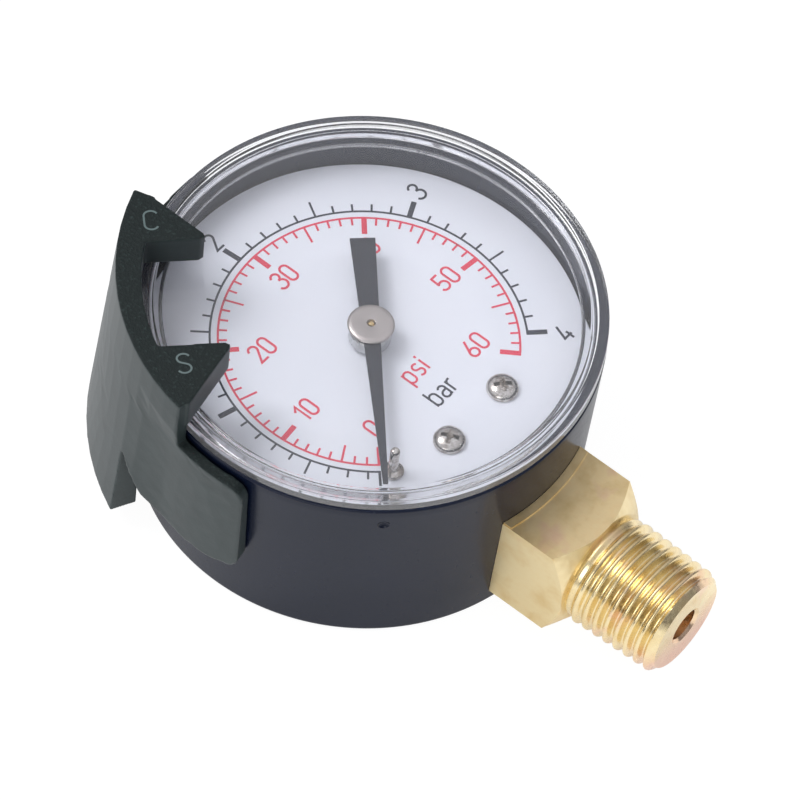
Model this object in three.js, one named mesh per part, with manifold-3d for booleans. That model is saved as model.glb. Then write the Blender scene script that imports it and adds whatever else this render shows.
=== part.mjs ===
// Bourdon-tube pressure gauge, 50 mm dial, with bottom-entry stem and a
// turning indicator clip. Millimetres, +Z out of the dial, origin on the
// case back. The stem points along -Y and the top of the dial along +Y.
import * as THREE from 'three';
import { mergeVertices } from 'three/addons/utils/BufferGeometryUtils.js';
import Module from 'manifold-3d';

const wasm = await Module();
wasm.setup();

// ---------------------------------------------------------------- dimensions
const GAP = 0.3; // free space left between parts that touch

const CASE = {
  baseRadius: 25.6, rimRadius: 26.5, height: 25.4, wall: 1.25, floor: 1.6,
  edge: 0.9, dimpleRadius: 0.9, dimpleDepth: 0.35, dimpleHeight: 22.8, dimpleBearing: 227.6,
};
const LENS = {
  radius: 26.45, top: 27.5, window: 27.2, underside: 25.3,
  stepOuter: 25.3, stepInner: 24.5, plugOuter: 24.75, plugInner: 23.7, plugBottom: 24.2,
};
const DIAL = { radius: 24.7, top: 19.9, thickness: 0.5, centreHole: 1.7 };
const STEM = {
  axisHeight: 9.5, flats: 14, blockEnd: 34.4, cornerCut: 24, length: 46.6,
  threadMajor: 6.9, threadDepth: 0.8, pitch: 1.41, taper: 1 / 32,
  boreWide: 2.05, boreNarrow: 1.2, boreStep: 41.5, neck: 5, lip: 0.25,
  endChamfer: 0.9,
};
const HEAD = { halfWidth: 6.5, inner: 13.3, outer: 23.3, bottom: 4.4, top: 13.6 };
const TONGUE = { halfWidth: 5.8, inner: 8.2, top: 7.9 };
const DIAL_SCREW = { x: 4.75, y: -15.4, head: 1.85, rise: 1.1, shank: 0.8 };
const CASE_SCREW = { x: 3.8, y: -20.5, head: 2.3, shank: 0.9 };
const TUBE = {
  radius: 17.5, height: 6, width: 2.4, wall: 0.4, start: -105, end: -10,
};
const GEAR = { module: 0.3, pinionTeeth: 8, ratio: 8, bearing: -49.5, backlash: 0.13 };
const MOVEMENT = {
  base: 8.2, plate: 1, upper: 14, sectorFrom: 10.6, sectorTo: 11.4,
  linkFrom: 9.6, linkTo: 10.3, tailLength: 4.5, tailAngle: -50.1, linkLength: 6, linkAngle: 56.9,
};
const POINTER = {
  bearing: -133.7, tip: 21.2, tail: 12.2, tailWidth: 2.9, tipWidth: 0.56, from: 22.3, to: 22.6,
};
const HUB = { radius: 2.7, face: 2.35, from: 22.85, top: 23.2 };
const BUSH = { radius: 2.4, bore: 0.85, from: 20.3, top: 22 };
const STOP = { radius: 18, bearing: -137.6, dome: 1.3, pin: 0.55, top: 24.3 };
const CLIP = {
  middle: -46, bandHalf: 53.2, bandBottom: 8.7, bandTop: 24.8, corner: 2,
  wallFrom: -33.5, wallTo: 29.8, top: 32, armBottom: 27.8, outer: 28, roofInner: 26,
  tabHalf: 17, tabBottom: 2.8, tabInner: 27.6, tabFlare: 31.1, topFlare: 28.8, fade: 15,
  notchTop: 14.5, channel: 7.1,
};

// sector wheel and pinion
const PINION_RADIUS = (GEAR.module * GEAR.pinionTeeth) / 2;
const SECTOR_RADIUS = PINION_RADIUS * GEAR.ratio;
const rad = (degrees) => (degrees * Math.PI) / 180;
const polar = (radius, degrees) => [radius * Math.cos(rad(degrees)), radius * Math.sin(rad(degrees))];
// a bearing is read clockwise from the top of the dial
const bearing = (radius, degrees) => polar(radius, 90 - degrees);
const SECTOR_PIVOT = polar(PINION_RADIUS + SECTOR_RADIUS, GEAR.bearing);
const shifted = (point, radius, degrees) => {
  const [dx, dy] = polar(radius, degrees);
  return [point[0] + dx, point[1] + dy];
};
const TAIL_PIN = shifted(SECTOR_PIVOT, MOVEMENT.tailLength, MOVEMENT.tailAngle);
const TIP_PIN = shifted(TAIL_PIN, MOVEMENT.linkLength, MOVEMENT.linkAngle);
const PILLARS = { left: [-5.5, 3], right: [-0.2, -11.6] };
const BASE_SCREWS = { left: [-4, -10.2], right: [3.6, -10.6] };

// ------------------------------------------------------------------ finishes
const finish = (colour, roughness, metalness) =>
  new THREE.MeshStandardMaterial({ color: colour, roughness, metalness });
const BLACK_PAINT = finish(0x23262e, 0.35, 0);
const CLEAR = finish(0xe8eef2, 0.05, 0);
const WHITE_DIAL = finish(0xe6e9ef, 0.4, 0);
const BRASS = finish(0xcfa662, 0.3, 1);
const NICKEL = finish(0xb0aca8, 0.25, 1);
const STEEL = finish(0x8f9296, 0.35, 1);
const POINTER_BLACK = finish(0x3a3d45, 0.5, 0);
const BRONZE = finish(0xb98a4a, 0.35, 1);
const CLIP_GREEN = finish(0x2a3839, 0.65, 0);

// ------------------------------------------------------------------- helpers
// Signed volume of an indexed geometry; positive when faces look outward.
function signedVolume(geometry) {
  const position = geometry.attributes.position;
  const index = geometry.index;
  const a = new THREE.Vector3();
  const b = new THREE.Vector3();
  const c = new THREE.Vector3();
  let total = 0;
  for (let i = 0; i < index.count; i += 3) {
    a.fromBufferAttribute(position, index.getX(i));
    b.fromBufferAttribute(position, index.getX(i + 1));
    c.fromBufferAttribute(position, index.getX(i + 2));
    total += a.dot(b.cross(c)) / 6;
  }
  return total;
}

// Merge by position, drop slivers and turn every face outward.
function sealed(geometry) {
  const bare = new THREE.BufferGeometry();
  bare.setAttribute('position', geometry.attributes.position);
  if (geometry.index) {
    bare.setIndex(geometry.index);
  }
  const merged = mergeVertices(bare, 1e-4);
  const kept = [];
  const index = merged.index;
  for (let i = 0; i < index.count; i += 3) {
    const corners = [index.getX(i), index.getX(i + 1), index.getX(i + 2)];
    if (new Set(corners).size === 3) {
      kept.push(...corners);
    }
  }
  merged.setIndex(kept);
  if (signedVolume(merged) < 0) {
    for (let i = 0; i < kept.length; i += 3) {
      [kept[i + 1], kept[i + 2]] = [kept[i + 2], kept[i + 1]];
    }
    merged.setIndex(kept);
  }
  return merged;
}

// Geometry to boolean solid and back.
function solid(geometry) {
  const closed = sealed(geometry);
  return new wasm.Manifold(new wasm.Mesh({
    numProp: 3,
    vertProperties: new Float32Array(closed.attributes.position.array),
    triVerts: new Uint32Array(closed.index.array),
  }));
}

function skin(manifold) {
  const mesh = manifold.getMesh();
  const geometry = new THREE.BufferGeometry();
  const stride = mesh.numProp;
  const count = mesh.vertProperties.length / stride;
  const points = new Float32Array(count * 3);
  for (let i = 0; i < count; i += 1) {
    points.set(mesh.vertProperties.subarray(i * stride, i * stride + 3), i * 3);
  }
  geometry.setAttribute('position', new THREE.BufferAttribute(points, 3));
  geometry.setIndex(Array.from(mesh.triVerts));
  return geometry;
}

const union = (first, ...rest) => rest.reduce((sum, next) => sum.add(next), first);
const cut = (first, ...rest) => rest.reduce((left, next) => left.subtract(next), first);

// Body turned about +Z from [radius, height] pairs.
function turned(profile, segments = 48) {
  const points = profile.map(([r, z]) => new THREE.Vector2(r, z));
  return new THREE.LatheGeometry(points, segments).rotateX(Math.PI / 2);
}

// Same, closing the profile on itself for a ring.
const ring = (profile, segments = 48) => turned([...profile, profile[0]], segments);

// Plain cylinder standing at a point, between two heights.
function rod(point, radius, from, to, segments = 18) {
  const geometry = turned([[0, from], [radius, from], [radius, to], [0, to]], segments);
  return geometry.translate(point[0], point[1], 0);
}

// Body turned about the stem axis; pairs are [radius, distance along -Y].
function turnedAlongStem(profile, segments = 48) {
  const points = profile.map(([r, d]) => new THREE.Vector2(r, -d));
  return new THREE.LatheGeometry(points, segments).translate(0, 0, STEM.axisHeight);
}

function outline(points) {
  return new THREE.Shape(points.map(([x, y]) => new THREE.Vector2(x, y)));
}

// Flat piece cut to a closed outline, between two heights.
function flat(shape, from, to, curveSegments = 16) {
  const options = { depth: to - from, bevelEnabled: false, curveSegments };
  return new THREE.ExtrudeGeometry(shape, options).translate(0, 0, from);
}

// Cut round holes, given as [x, y, radius], in a flat outline.
function pierce(shape, holes, sides = 14) {
  for (const [x, y, r] of holes) {
    const rim = Array.from({ length: sides }, (_, i) => polar(r, (-360 * i) / sides));
    shape.holes.push(new THREE.Path(rim.map(([dx, dy]) => new THREE.Vector2(x + dx, y + dy))));
  }
  return shape;
}

function block(x0, x1, y0, y1, z0, z1) {
  return flat(outline([[x0, y0], [x1, y0], [x1, y1], [x0, y1]]), z0, z1);
}

// Convex outline wrapped round a set of [x, y, radius] discs.
function wrapped(discs, steps = 16) {
  const cloud = [];
  for (const [x, y, r] of discs) {
    for (let i = 0; i < steps; i += 1) {
      const [dx, dy] = polar(r, (360 * i) / steps);
      cloud.push([x + dx, y + dy]);
    }
  }
  cloud.sort((p, q) => p[0] - q[0] || p[1] - q[1]);
  const turn = (o, p, q) => (p[0] - o[0]) * (q[1] - o[1]) - (p[1] - o[1]) * (q[0] - o[0]);
  const half = (points) => {
    const chain = [];
    for (const point of points) {
      while (chain.length > 1 && turn(chain.at(-2), chain.at(-1), point) <= 1e-9) {
        chain.pop();
      }
      chain.push(point);
    }
    return chain.slice(0, -1);
  };
  return outline([...half(cloud), ...half([...cloud].reverse())]);
}

const caseRadius = (z) =>
  CASE.baseRadius + ((CASE.rimRadius - CASE.baseRadius) * z) / CASE.height;

// ---------------------------------------------------------------------- case
function caseCup() {
  const { edge, wall, floor, height } = CASE;
  const profile = [[0, 0], [caseRadius(0) - edge, 0]];
  for (let i = 1; i <= 4; i += 1) {
    const [dx, dy] = polar(edge, -90 + (90 * i) / 4);
    profile.push([caseRadius(edge) - edge + dx, edge + dy]);
  }
  profile.push([caseRadius(height) - 0.15, height - 0.15], [caseRadius(height) - 0.35, height]);
  profile.push([caseRadius(height) - wall, height], [caseRadius(floor) - wall, floor + 0.6]);
  profile.push([caseRadius(floor) - wall - 0.6, floor], [0, floor]);
  let cup = solid(turned(profile, 64));
  const neckHole = [[0, 20], [STEM.neck + GAP, 20], [STEM.neck + GAP, 30], [0, 30]];
  cup = cut(cup, solid(turnedAlongStem(neckHole, 28)));
  for (const side of [-1, 1]) {
    const sink = [
      [0, -1], [CASE_SCREW.head + GAP, -1], [CASE_SCREW.head + GAP, 0.35],
      [CASE_SCREW.shank + GAP, 1.4], [CASE_SCREW.shank + GAP, 3], [0, 3],
    ];
    const hole = turned(sink, 24).translate(side * CASE_SCREW.x, CASE_SCREW.y, 0);
    cup = cut(cup, solid(hole));
  }
  for (let i = 0; i < 3; i += 1) {
    const reach = caseRadius(CASE.dimpleHeight) + CASE.dimpleRadius - CASE.dimpleDepth;
    const [x, y] = bearing(reach, CASE.dimpleBearing + 120 * i);
    const ball = new THREE.SphereGeometry(CASE.dimpleRadius, 12, 8);
    cup = cut(cup, solid(ball.translate(x, y, CASE.dimpleHeight)));
  }
  return skin(cup);
}

// Countersunk screw that holds the stem head to the case back.
function caseScrew(side) {
  const profile = [
    [0, 0.2], [CASE_SCREW.head, 0.2], [CASE_SCREW.head, 0.35], [CASE_SCREW.shank, 1.5],
    [CASE_SCREW.shank, 8.2], [0, 8.2],
  ];
  const { x, y } = CASE_SCREW;
  const body = solid(turned(profile, 24).translate(side * x, y, 0));
  const slot = block(side * x - 3, side * x + 3, y - 0.3, y + 0.3, -0.5, 0.65);
  return skin(cut(body, solid(slot)));
}

// ---------------------------------------------------------------------- lens
function lens() {
  const { radius, top, window, underside } = LENS;
  const rimSeat = CASE.height + GAP;
  return turned([
    [0, window], [LENS.stepInner, window], [LENS.stepInner + 0.2, window - 0.25],
    [LENS.stepOuter - 0.2, window - 0.25], [LENS.stepOuter, top], [radius - 0.3, top],
    [radius - 0.08, top - 0.08], [radius, top - 0.3], [radius, rimSeat],
    [LENS.plugOuter, rimSeat], [LENS.plugOuter, LENS.plugBottom],
    [LENS.plugInner, LENS.plugBottom], [LENS.plugInner - 0.15, underside], [0, underside],
  ], 64);
}

// ---------------------------------------------------------------------- dial
function dialPlate() {
  const shape = new THREE.Shape();
  shape.absarc(0, 0, DIAL.radius, 0, 2 * Math.PI, false);
  pierce(shape, [
    [0, 0, DIAL.centreHole],
    [-DIAL_SCREW.x, DIAL_SCREW.y, DIAL_SCREW.shank + GAP],
    [DIAL_SCREW.x, DIAL_SCREW.y, DIAL_SCREW.shank + GAP],
    [...bearing(STOP.radius, STOP.bearing), 0.8],
  ]);
  return flat(shape, DIAL.top - DIAL.thickness, DIAL.top, 32);
}

// Domed profile from rim to axis, [radius, height] pairs.
function dome(radius, from, rise, steps = 5) {
  const points = [];
  for (let i = 0; i <= steps; i += 1) {
    const angle = (90 * i) / steps;
    points.push([radius * Math.cos(rad(angle)), from + rise * Math.sin(rad(angle))]);
  }
  points[steps][0] = 0;
  return points;
}

function dialScrew(side) {
  const seat = DIAL.top + 0.1;
  const shankFoot = 15.8;
  const { x, y, head, rise, shank } = DIAL_SCREW;
  const profile = [[0, shankFoot], [shank, shankFoot], [shank, seat], [head, seat]];
  profile.push(...dome(head, seat + 0.3, rise - 0.3));
  let body = solid(turned(profile, 20));
  for (const turn of [0, 90]) {
    const bar = block(-0.85, 0.85, -0.2, 0.2, seat + 0.45, seat + 3).rotateZ(rad(turn + 20));
    body = cut(body, solid(bar));
  }
  return skin(body).translate(side * x, y, 0);
}

function stopPin() {
  const [x, y] = bearing(STOP.radius, STOP.bearing);
  const seat = DIAL.top + 0.1;
  const profile = [[0, 18.8], [0.5, 18.8], [0.5, seat], [STOP.dome, seat]];
  profile.push([STOP.dome * 0.9, seat + 0.3], [STOP.dome * 0.62, seat + 0.52]);
  profile.push([STOP.pin, seat + 0.6], ...dome(STOP.pin, STOP.top - 0.45, 0.45, 3));
  return turned(profile, 20).translate(x, y, 0);
}

// ---------------------------------------------------------------------- stem
// Tapered helical thread along -Y as a height field over a cone.
function threadedEnd() {
  const around = 28;
  const perPitch = 5;
  const start = STEM.blockEnd - 1.2;
  const rows = Math.round(((STEM.length - start) / STEM.pitch) * perPitch);
  const positions = [];
  const index = [];
  const crest = (phase) => {
    const saw = Math.abs(2 * (phase - Math.floor(phase)) - 1);
    return Math.min(1, Math.max(0, (saw - 0.12) / 0.76));
  };
  for (let row = 0; row <= rows; row += 1) {
    const d = start + ((STEM.length - start) * row) / rows;
    const major = STEM.threadMajor - (d - STEM.blockEnd) * STEM.taper;
    const runOut = Math.min(1, Math.max(0, (d - STEM.blockEnd) / STEM.pitch));
    const chamfer = Math.max(0, d - (STEM.length - STEM.endChamfer));
    for (let i = 0; i < around; i += 1) {
      const angle = (2 * Math.PI * i) / around;
      const depth = STEM.threadDepth * (1 - crest(d / STEM.pitch - i / around));
      const neckIn = 0.5 * (1 - runOut);
      const r = Math.min(major - depth * runOut - neckIn, major - chamfer);
      positions.push(r * Math.cos(angle), -d, STEM.axisHeight + r * Math.sin(angle));
    }
  }
  for (let row = 0; row < rows; row += 1) {
    for (let i = 0; i < around; i += 1) {
      const a = row * around + i;
      const b = row * around + ((i + 1) % around);
      index.push(a, b, a + around, b, b + around, a + around);
    }
  }
  const inner = positions.length / 3;
  positions.push(0, -start, STEM.axisHeight, 0, -STEM.length, STEM.axisHeight);
  for (let i = 0; i < around; i += 1) {
    const next = (i + 1) % around;
    index.push(inner, next, i);
    index.push(inner + 1, rows * around + i, rows * around + next);
  }
  const geometry = new THREE.BufferGeometry();
  geometry.setAttribute('position', new THREE.Float32BufferAttribute(positions, 3));
  geometry.setIndex(index);
  return geometry;
}

// Room kept clear round the outside of the case.
function caseEnvelope(extra) {
  return solid(turned([
    [0, 0], [caseRadius(0) + extra, 0], [caseRadius(22) + extra, 22], [0, 22],
  ], 80));
}

function socketStem() {
  const half = STEM.flats / 2;
  const low = STEM.axisHeight - half;
  const high = STEM.axisHeight + half;
  const corner = half * Math.SQRT2;
  const cornerDrop = (corner - half) * Math.tan(rad(STEM.cornerCut));
  // wrench block with its outer corners turned off
  let body = solid(block(-half, half, -STEM.blockEnd, -22, low, high));
  const turnedEnd = [
    [0, 15], [corner + 2, 15], [corner + 2, STEM.blockEnd - cornerDrop * 1.6],
    [half, STEM.blockEnd], [0, STEM.blockEnd],
  ];
  body = body.intersect(solid(turnedAlongStem(turnedEnd, 40)));
  // raised saddle lip where the block meets the case
  const lip = solid(block(
    -half + 0.5, half - 0.5, -30, -22, low - STEM.lip, high + STEM.lip,
  )).intersect(caseEnvelope(GAP + 0.85));
  body = cut(union(body, lip), caseEnvelope(GAP));
  // neck through the case wall, head and tongue inside
  const neck = [[0, 22], [STEM.neck, 22], [STEM.neck, 30], [0, 30]];
  body = union(
    body,
    solid(turnedAlongStem(neck, 24)),
    solid(block(
      -HEAD.halfWidth, HEAD.halfWidth, -HEAD.outer, -HEAD.inner, HEAD.bottom, HEAD.top,
    )),
    solid(block(
      -TONGUE.halfWidth, TONGUE.halfWidth, -HEAD.inner - 0.5, -TONGUE.inner,
      HEAD.bottom, TONGUE.top,
    )),
    solid(threadedEnd()),
  );
  // posts that carry the dial, and the screw holes
  const posts = [-1, 1].map((side) => [side * DIAL_SCREW.x, DIAL_SCREW.y]);
  for (const post of posts) {
    body = union(body, solid(rod(post, 1.7, HEAD.top - 0.5, DIAL.top - DIAL.thickness - GAP)));
    body = cut(body, solid(rod(post, DIAL_SCREW.shank + 0.2, 15.4, 20, 16)));
  }
  for (const side of [-1, 1]) {
    const at = [side * CASE_SCREW.x, CASE_SCREW.y];
    body = cut(body, solid(rod(at, CASE_SCREW.shank + 0.2, 4, 8.6, 16)));
  }
  for (const at of Object.values(BASE_SCREWS)) {
    body = cut(body, solid(rod(at, 0.75, 5, 8.5, 16)));
  }
  // pressure passage: wide mouth, narrow bore, side port to the tube pocket
  const mouth = [
    [0, STEM.length + 1], [STEM.boreWide + 0.3, STEM.length + 1],
    [STEM.boreWide + 0.3, STEM.length], [STEM.boreWide, STEM.length - 0.3],
    [STEM.boreWide, STEM.boreStep], [STEM.boreNarrow, STEM.boreStep - 0.8],
    [STEM.boreNarrow, 16], [0, 16],
  ];
  const pocket = solid(ring([
    [TUBE.radius - 1.5, 6.2], [TUBE.radius + 1.5, 6.2],
    [TUBE.radius + 1.5, 12.8], [TUBE.radius - 1.5, 12.8],
  ], 64)).intersect(solid(block(-12, -3.4, -24, -10, 5, 14)));
  const port = rod([0, 0], 0.9, -4, 0.3, 16).rotateY(Math.PI / 2);
  port.translate(0, -17, STEM.axisHeight);
  return skin(cut(body, solid(turnedAlongStem(mouth, 20)), pocket, solid(port)));
}

function restrictorScrew() {
  const outer = STEM.length - 1.2;
  const profile = [
    [0.35, outer], [STEM.boreWide - GAP, outer],
    [STEM.boreWide - GAP, outer - 2.6], [0.35, outer - 2.6],
  ];
  const plug = solid(turnedAlongStem([...profile, profile[0]], 24));
  const z = STEM.axisHeight;
  const slot = solid(block(-3, 3, -outer - 1, -outer + 0.7, z - 0.3, z + 0.3));
  return skin(cut(plug, slot));
}

// -------------------------------------------------------------- bourdon tube
// Flattened C-tube, open at both ends; runs clockwise over the top.
function bourdonTube() {
  const along = 26;
  const around = 10;
  const sweep = 360 + TUBE.start - TUBE.end;
  const positions = [];
  const index = [];
  const section = (shell, i, j) => {
    const angle = rad(TUBE.start - (sweep * i) / along);
    const turn = (2 * Math.PI * j) / around;
    const inset = shell * TUBE.wall;
    const r = TUBE.radius + (TUBE.width / 2 - inset) * Math.cos(turn);
    const z = STEM.axisHeight + (TUBE.height / 2 - inset) * Math.sin(turn);
    return [r * Math.cos(angle), r * Math.sin(angle), z];
  };
  for (let i = 0; i <= along; i += 1) {
    for (let shell = 0; shell < 2; shell += 1) {
      for (let j = 0; j < around; j += 1) {
        positions.push(...section(shell, i, j));
      }
    }
  }
  const at = (shell, i, j) => (i * 2 + shell) * around + (j % around);
  const quad = (a, b, c, d) => index.push(a, b, c, a, c, d);
  for (let j = 0; j < around; j += 1) {
    for (let i = 0; i < along; i += 1) {
      quad(at(0, i, j), at(0, i + 1, j), at(0, i + 1, j + 1), at(0, i, j + 1));
      quad(at(1, i, j), at(1, i, j + 1), at(1, i + 1, j + 1), at(1, i + 1, j));
    }
    quad(at(0, 0, j), at(0, 0, j + 1), at(1, 0, j + 1), at(1, 0, j));
    quad(at(0, along, j), at(1, along, j), at(1, along, j + 1), at(0, along, j + 1));
  }
  const geometry = new THREE.BufferGeometry();
  geometry.setAttribute('position', new THREE.Float32BufferAttribute(positions, 3));
  geometry.setIndex(index);
  return geometry;
}

// End piece closing the tube, with a lug that takes the link pin.
function tubeEndPiece() {
  const gapAngle = 1.2;
  const from = TUBE.end - gapAngle;
  const to = from - 8;
  const low = STEM.axisHeight - TUBE.height / 2;
  const points = [];
  const reach = TUBE.width / 2;
  for (const angle of [from, (from + to) / 2, to]) {
    points.push(polar(TUBE.radius + reach, angle));
  }
  for (const angle of [to, (from + to) / 2, from]) {
    points.push(polar(TUBE.radius - reach, angle));
  }
  const cap = solid(flat(outline(points), low, low + TUBE.height));
  const root = polar(TUBE.radius - 0.4, (from + to) / 2);
  const lugShape = wrapped([[...root, 0.8], [...TIP_PIN, 1.2]]);
  const lug = solid(flat(lugShape, MOVEMENT.sectorFrom, MOVEMENT.sectorTo));
  const pinHole = solid(rod(TIP_PIN, 0.7, 8, 14, 16));
  return skin(cut(union(cap, lug), pinHole));
}

// ------------------------------------------------------------------ movement
// Toothed outline: root, flank and tip points for each tooth of a wheel.
function toothPoints(radius, pitchAngle, middle, inward = 1) {
  const m = GEAR.module;
  const thin = (GEAR.backlash / radius) * (180 / Math.PI);
  const row = (r, fraction) => [r, pitchAngle * fraction];
  const flank = [row(radius - 1.2 * m * inward, 0.36), row(radius, 0.25), row(radius + 0.85 * m, 0.11)];
  const left = flank.map(([r, a]) => polar(r, middle + Math.max(a - thin / 2, 0.2)));
  const right = flank.map(([r, a]) => polar(r, middle - Math.max(a - thin / 2, 0.2)));
  return [...left, ...right.reverse()];
}

function sectorGear() {
  const pitchAngle = 360 / (GEAR.pinionTeeth * GEAR.ratio);
  const contact = GEAR.bearing + 180;
  const teeth = 8;
  const points = [];
  const arms = [];
  // the rim runs clockwise from just past the contact line
  for (let i = teeth; i >= 0; i -= 1) {
    const middle = contact + pitchAngle / 2 - pitchAngle * (teeth - i);
    points.push(...toothPoints(SECTOR_RADIUS, pitchAngle, middle));
  }
  const first = contact + pitchAngle;
  const last = contact - pitchAngle * teeth;
  arms.push(polar(SECTOR_RADIUS - 1.6, last), polar(3, (first + last) / 2 - 14));
  arms.push(polar(3, (first + last) / 2 + 14), polar(SECTOR_RADIUS - 1.6, first));
  const blade = solid(flat(outline([...points, ...arms]), MOVEMENT.sectorFrom, MOVEMENT.sectorTo));
  const hub = wrapped([[0, 0, 2.1], [...polar(3.2, (first + last) / 2), 1.6]]);
  const tail = wrapped([[0, 0, 1.7], [...polar(MOVEMENT.tailLength, MOVEMENT.tailAngle), 1.2]]);
  const { sectorFrom: from, sectorTo: to } = MOVEMENT;
  let body = union(blade, solid(flat(hub, from, to)), solid(flat(tail, from, to)));
  body = cut(body, solid(rod([0, 0], 1.15, 8, 14)));
  body = cut(body, solid(rod(polar(MOVEMENT.tailLength, MOVEMENT.tailAngle), 0.7, 8, 14, 16)));
  return skin(body).translate(...SECTOR_PIVOT, 0);
}

function sectorArbor() {
  const { base, plate, upper } = MOVEMENT;
  return turned([
    [0, base + 0.1], [0.5, base + 0.1], [0.5, base + plate + GAP], [0.85, base + plate + GAP],
    [0.85, upper - GAP], [0.5, upper - GAP], [0.5, upper + plate - 0.1], [0, upper + plate - 0.1],
  ], 20).translate(...SECTOR_PIVOT, 0);
}

// Arbor with the pinion cut on it; its tip shows in the pointer hub.
function pinionArbor() {
  const { base, plate, upper, sectorFrom, sectorTo } = MOVEMENT;
  const shaft = solid(turned([
    [0, base + 0.1], [0.5, base + 0.1], [0.5, base + plate + GAP], [0.6, base + plate + GAP],
    [0.6, upper + 0.1], [0.55, upper + 0.1], [0.55, 22.65], [0.3, 22.75], [0.3, HUB.top - 0.12],
    [0.2, HUB.top - 0.04], [0, HUB.top - 0.04],
  ], 20));
  const pitchAngle = 360 / GEAR.pinionTeeth;
  const points = [];
  for (let i = 0; i < GEAR.pinionTeeth; i += 1) {
    points.push(...toothPoints(PINION_RADIUS, pitchAngle, GEAR.bearing - pitchAngle * i));
  }
  const wheel = solid(flat(outline(points), sectorFrom - 0.2, sectorTo + 0.2));
  return skin(union(shaft, wheel));
}

// Base and top plates, wrapped round their bearings and pillars.
function movementPlate(discs, from, holes) {
  return flat(pierce(wrapped(discs), holes), from, from + MOVEMENT.plate);
}

const basePlate = () => movementPlate([
  [0, 0, 2.6], [...SECTOR_PIVOT, 2.4], [...PILLARS.left, 2.2],
  [...BASE_SCREWS.left, 1.9], [...BASE_SCREWS.right, 1.9],
], MOVEMENT.base, [
  [0, 0, 0.8], [...SECTOR_PIVOT, 0.8],
  [...BASE_SCREWS.left, 0.8], [...BASE_SCREWS.right, 0.8],
]);

const topPlate = () => movementPlate([
  [0, 0, 2.6], [...SECTOR_PIVOT, 2.2], [...PILLARS.left, 2], [...PILLARS.right, 2],
], MOVEMENT.upper, [
  [0, 0, 0.9], [...SECTOR_PIVOT, 0.8], [...PILLARS.left, 0.8], [...PILLARS.right, 0.8],
]);

function pillar(point) {
  const low = MOVEMENT.base + MOVEMENT.plate + 0.15;
  const high = MOVEMENT.upper - 0.15;
  const post = solid(rod(point, 1.25, low, high, 20));
  return skin(cut(post, solid(rod(point, 0.75, high - 2.4, high + 1, 16))));
}

// Small cheese-head screw with a driver slot.
function cheeseScrew(point, seat, head, shank, depth, slotAngle) {
  const profile = [
    [0, seat - depth], [shank, seat - depth], [shank, seat + 0.12], [head, seat + 0.12],
    [head, seat + 0.6], [head - 0.15, seat + 0.75], [0, seat + 0.75],
  ];
  const slot = block(-2, 2, -0.16, 0.16, seat + 0.48, seat + 2).rotateZ(rad(slotAngle));
  return skin(cut(solid(turned(profile, 20)), solid(slot))).translate(...point, 0);
}

const basePlateScrew = (side) => cheeseScrew(
  BASE_SCREWS[side], MOVEMENT.base + MOVEMENT.plate, 1.2, 0.5, 3.4, side === 'left' ? 15 : 70,
);
const topPlateScrew = (side) => cheeseScrew(
  PILLARS[side], MOVEMENT.upper + MOVEMENT.plate, 1.2, 0.5, 2.8, side === 'left' ? 120 : 40,
);

function linkPlate() {
  const shape = wrapped([[...TAIL_PIN, 1.15], [...TIP_PIN, 1.15]]);
  pierce(shape, [[...TAIL_PIN, 0.7], [...TIP_PIN, 0.7]]);
  return flat(shape, MOVEMENT.linkFrom, MOVEMENT.linkTo);
}

// Headed pivot pin through the link.
function linkPin(point) {
  const low = MOVEMENT.linkFrom;
  const high = MOVEMENT.sectorTo;
  return turned([
    [0, low - 0.35], [0.95, low - 0.35], [0.95, low - 0.12], [0.45, low - 0.12],
    [0.45, high + 0.12], [0.95, high + 0.12], [0.95, high + 0.4], [0, high + 0.4],
  ], 18).translate(...point, 0);
}

// Flat spiral spring that takes up the play in the gears.
function hairspring() {
  const inner = 1.95;
  const outer = 4.6;
  const turns = 4.5;
  const steps = 80;
  const half = 0.09;
  const z = [12.55, 13.05];
  const positions = [];
  const index = [];
  for (let i = 0; i <= steps; i += 1) {
    const share = i / steps;
    const angle = 360 * turns * share;
    const r = inner + (outer - inner) * share;
    for (const [dr, level] of [[-half, 0], [half, 0], [half, 1], [-half, 1]]) {
      positions.push(...polar(r + dr, angle), z[level]);
    }
  }
  for (let i = 0; i < steps; i += 1) {
    for (let j = 0; j < 4; j += 1) {
      const a = 4 * i + j;
      const b = 4 * i + ((j + 1) % 4);
      index.push(a, b, b + 4, a, b + 4, a + 4);
    }
  }
  index.push(0, 3, 2, 0, 2, 1);
  const end = 4 * steps;
  index.push(end, end + 1, end + 2, end, end + 2, end + 3);
  const geometry = new THREE.BufferGeometry();
  geometry.setAttribute('position', new THREE.Float32BufferAttribute(positions, 3));
  geometry.setIndex(index);
  return geometry;
}

const hairspringCollet = () => ring([[0.85, 12.2], [1.65, 12.2], [1.65, 13.4], [0.85, 13.4]], 24);
const hairspringStud = () => rod([-5.45, 0], 0.5, 12.3, MOVEMENT.upper - 0.15, 14);

// ------------------------------------------------------------------- pointer
function pointerBlade() {
  const half = (distance) => {
    const share = (distance + POINTER.tail) / (POINTER.tip + POINTER.tail);
    return (POINTER.tailWidth + (POINTER.tipWidth - POINTER.tailWidth) * share) / 2;
  };
  const shape = outline([
    [-POINTER.tail, -half(-POINTER.tail)], [POINTER.tip, -half(POINTER.tip)],
    [POINTER.tip, half(POINTER.tip)], [-POINTER.tail, half(-POINTER.tail)],
  ]);
  const bladeSolid = union(
    solid(flat(shape, POINTER.from, POINTER.to)),
    solid(rod([0, 0], 1.9, POINTER.from, POINTER.to, 28)),
  );
  const bored = cut(bladeSolid, solid(rod([0, 0], 0.85, 20, 24, 20)));
  return skin(bored).rotateZ(rad(90 - POINTER.bearing));
}

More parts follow.
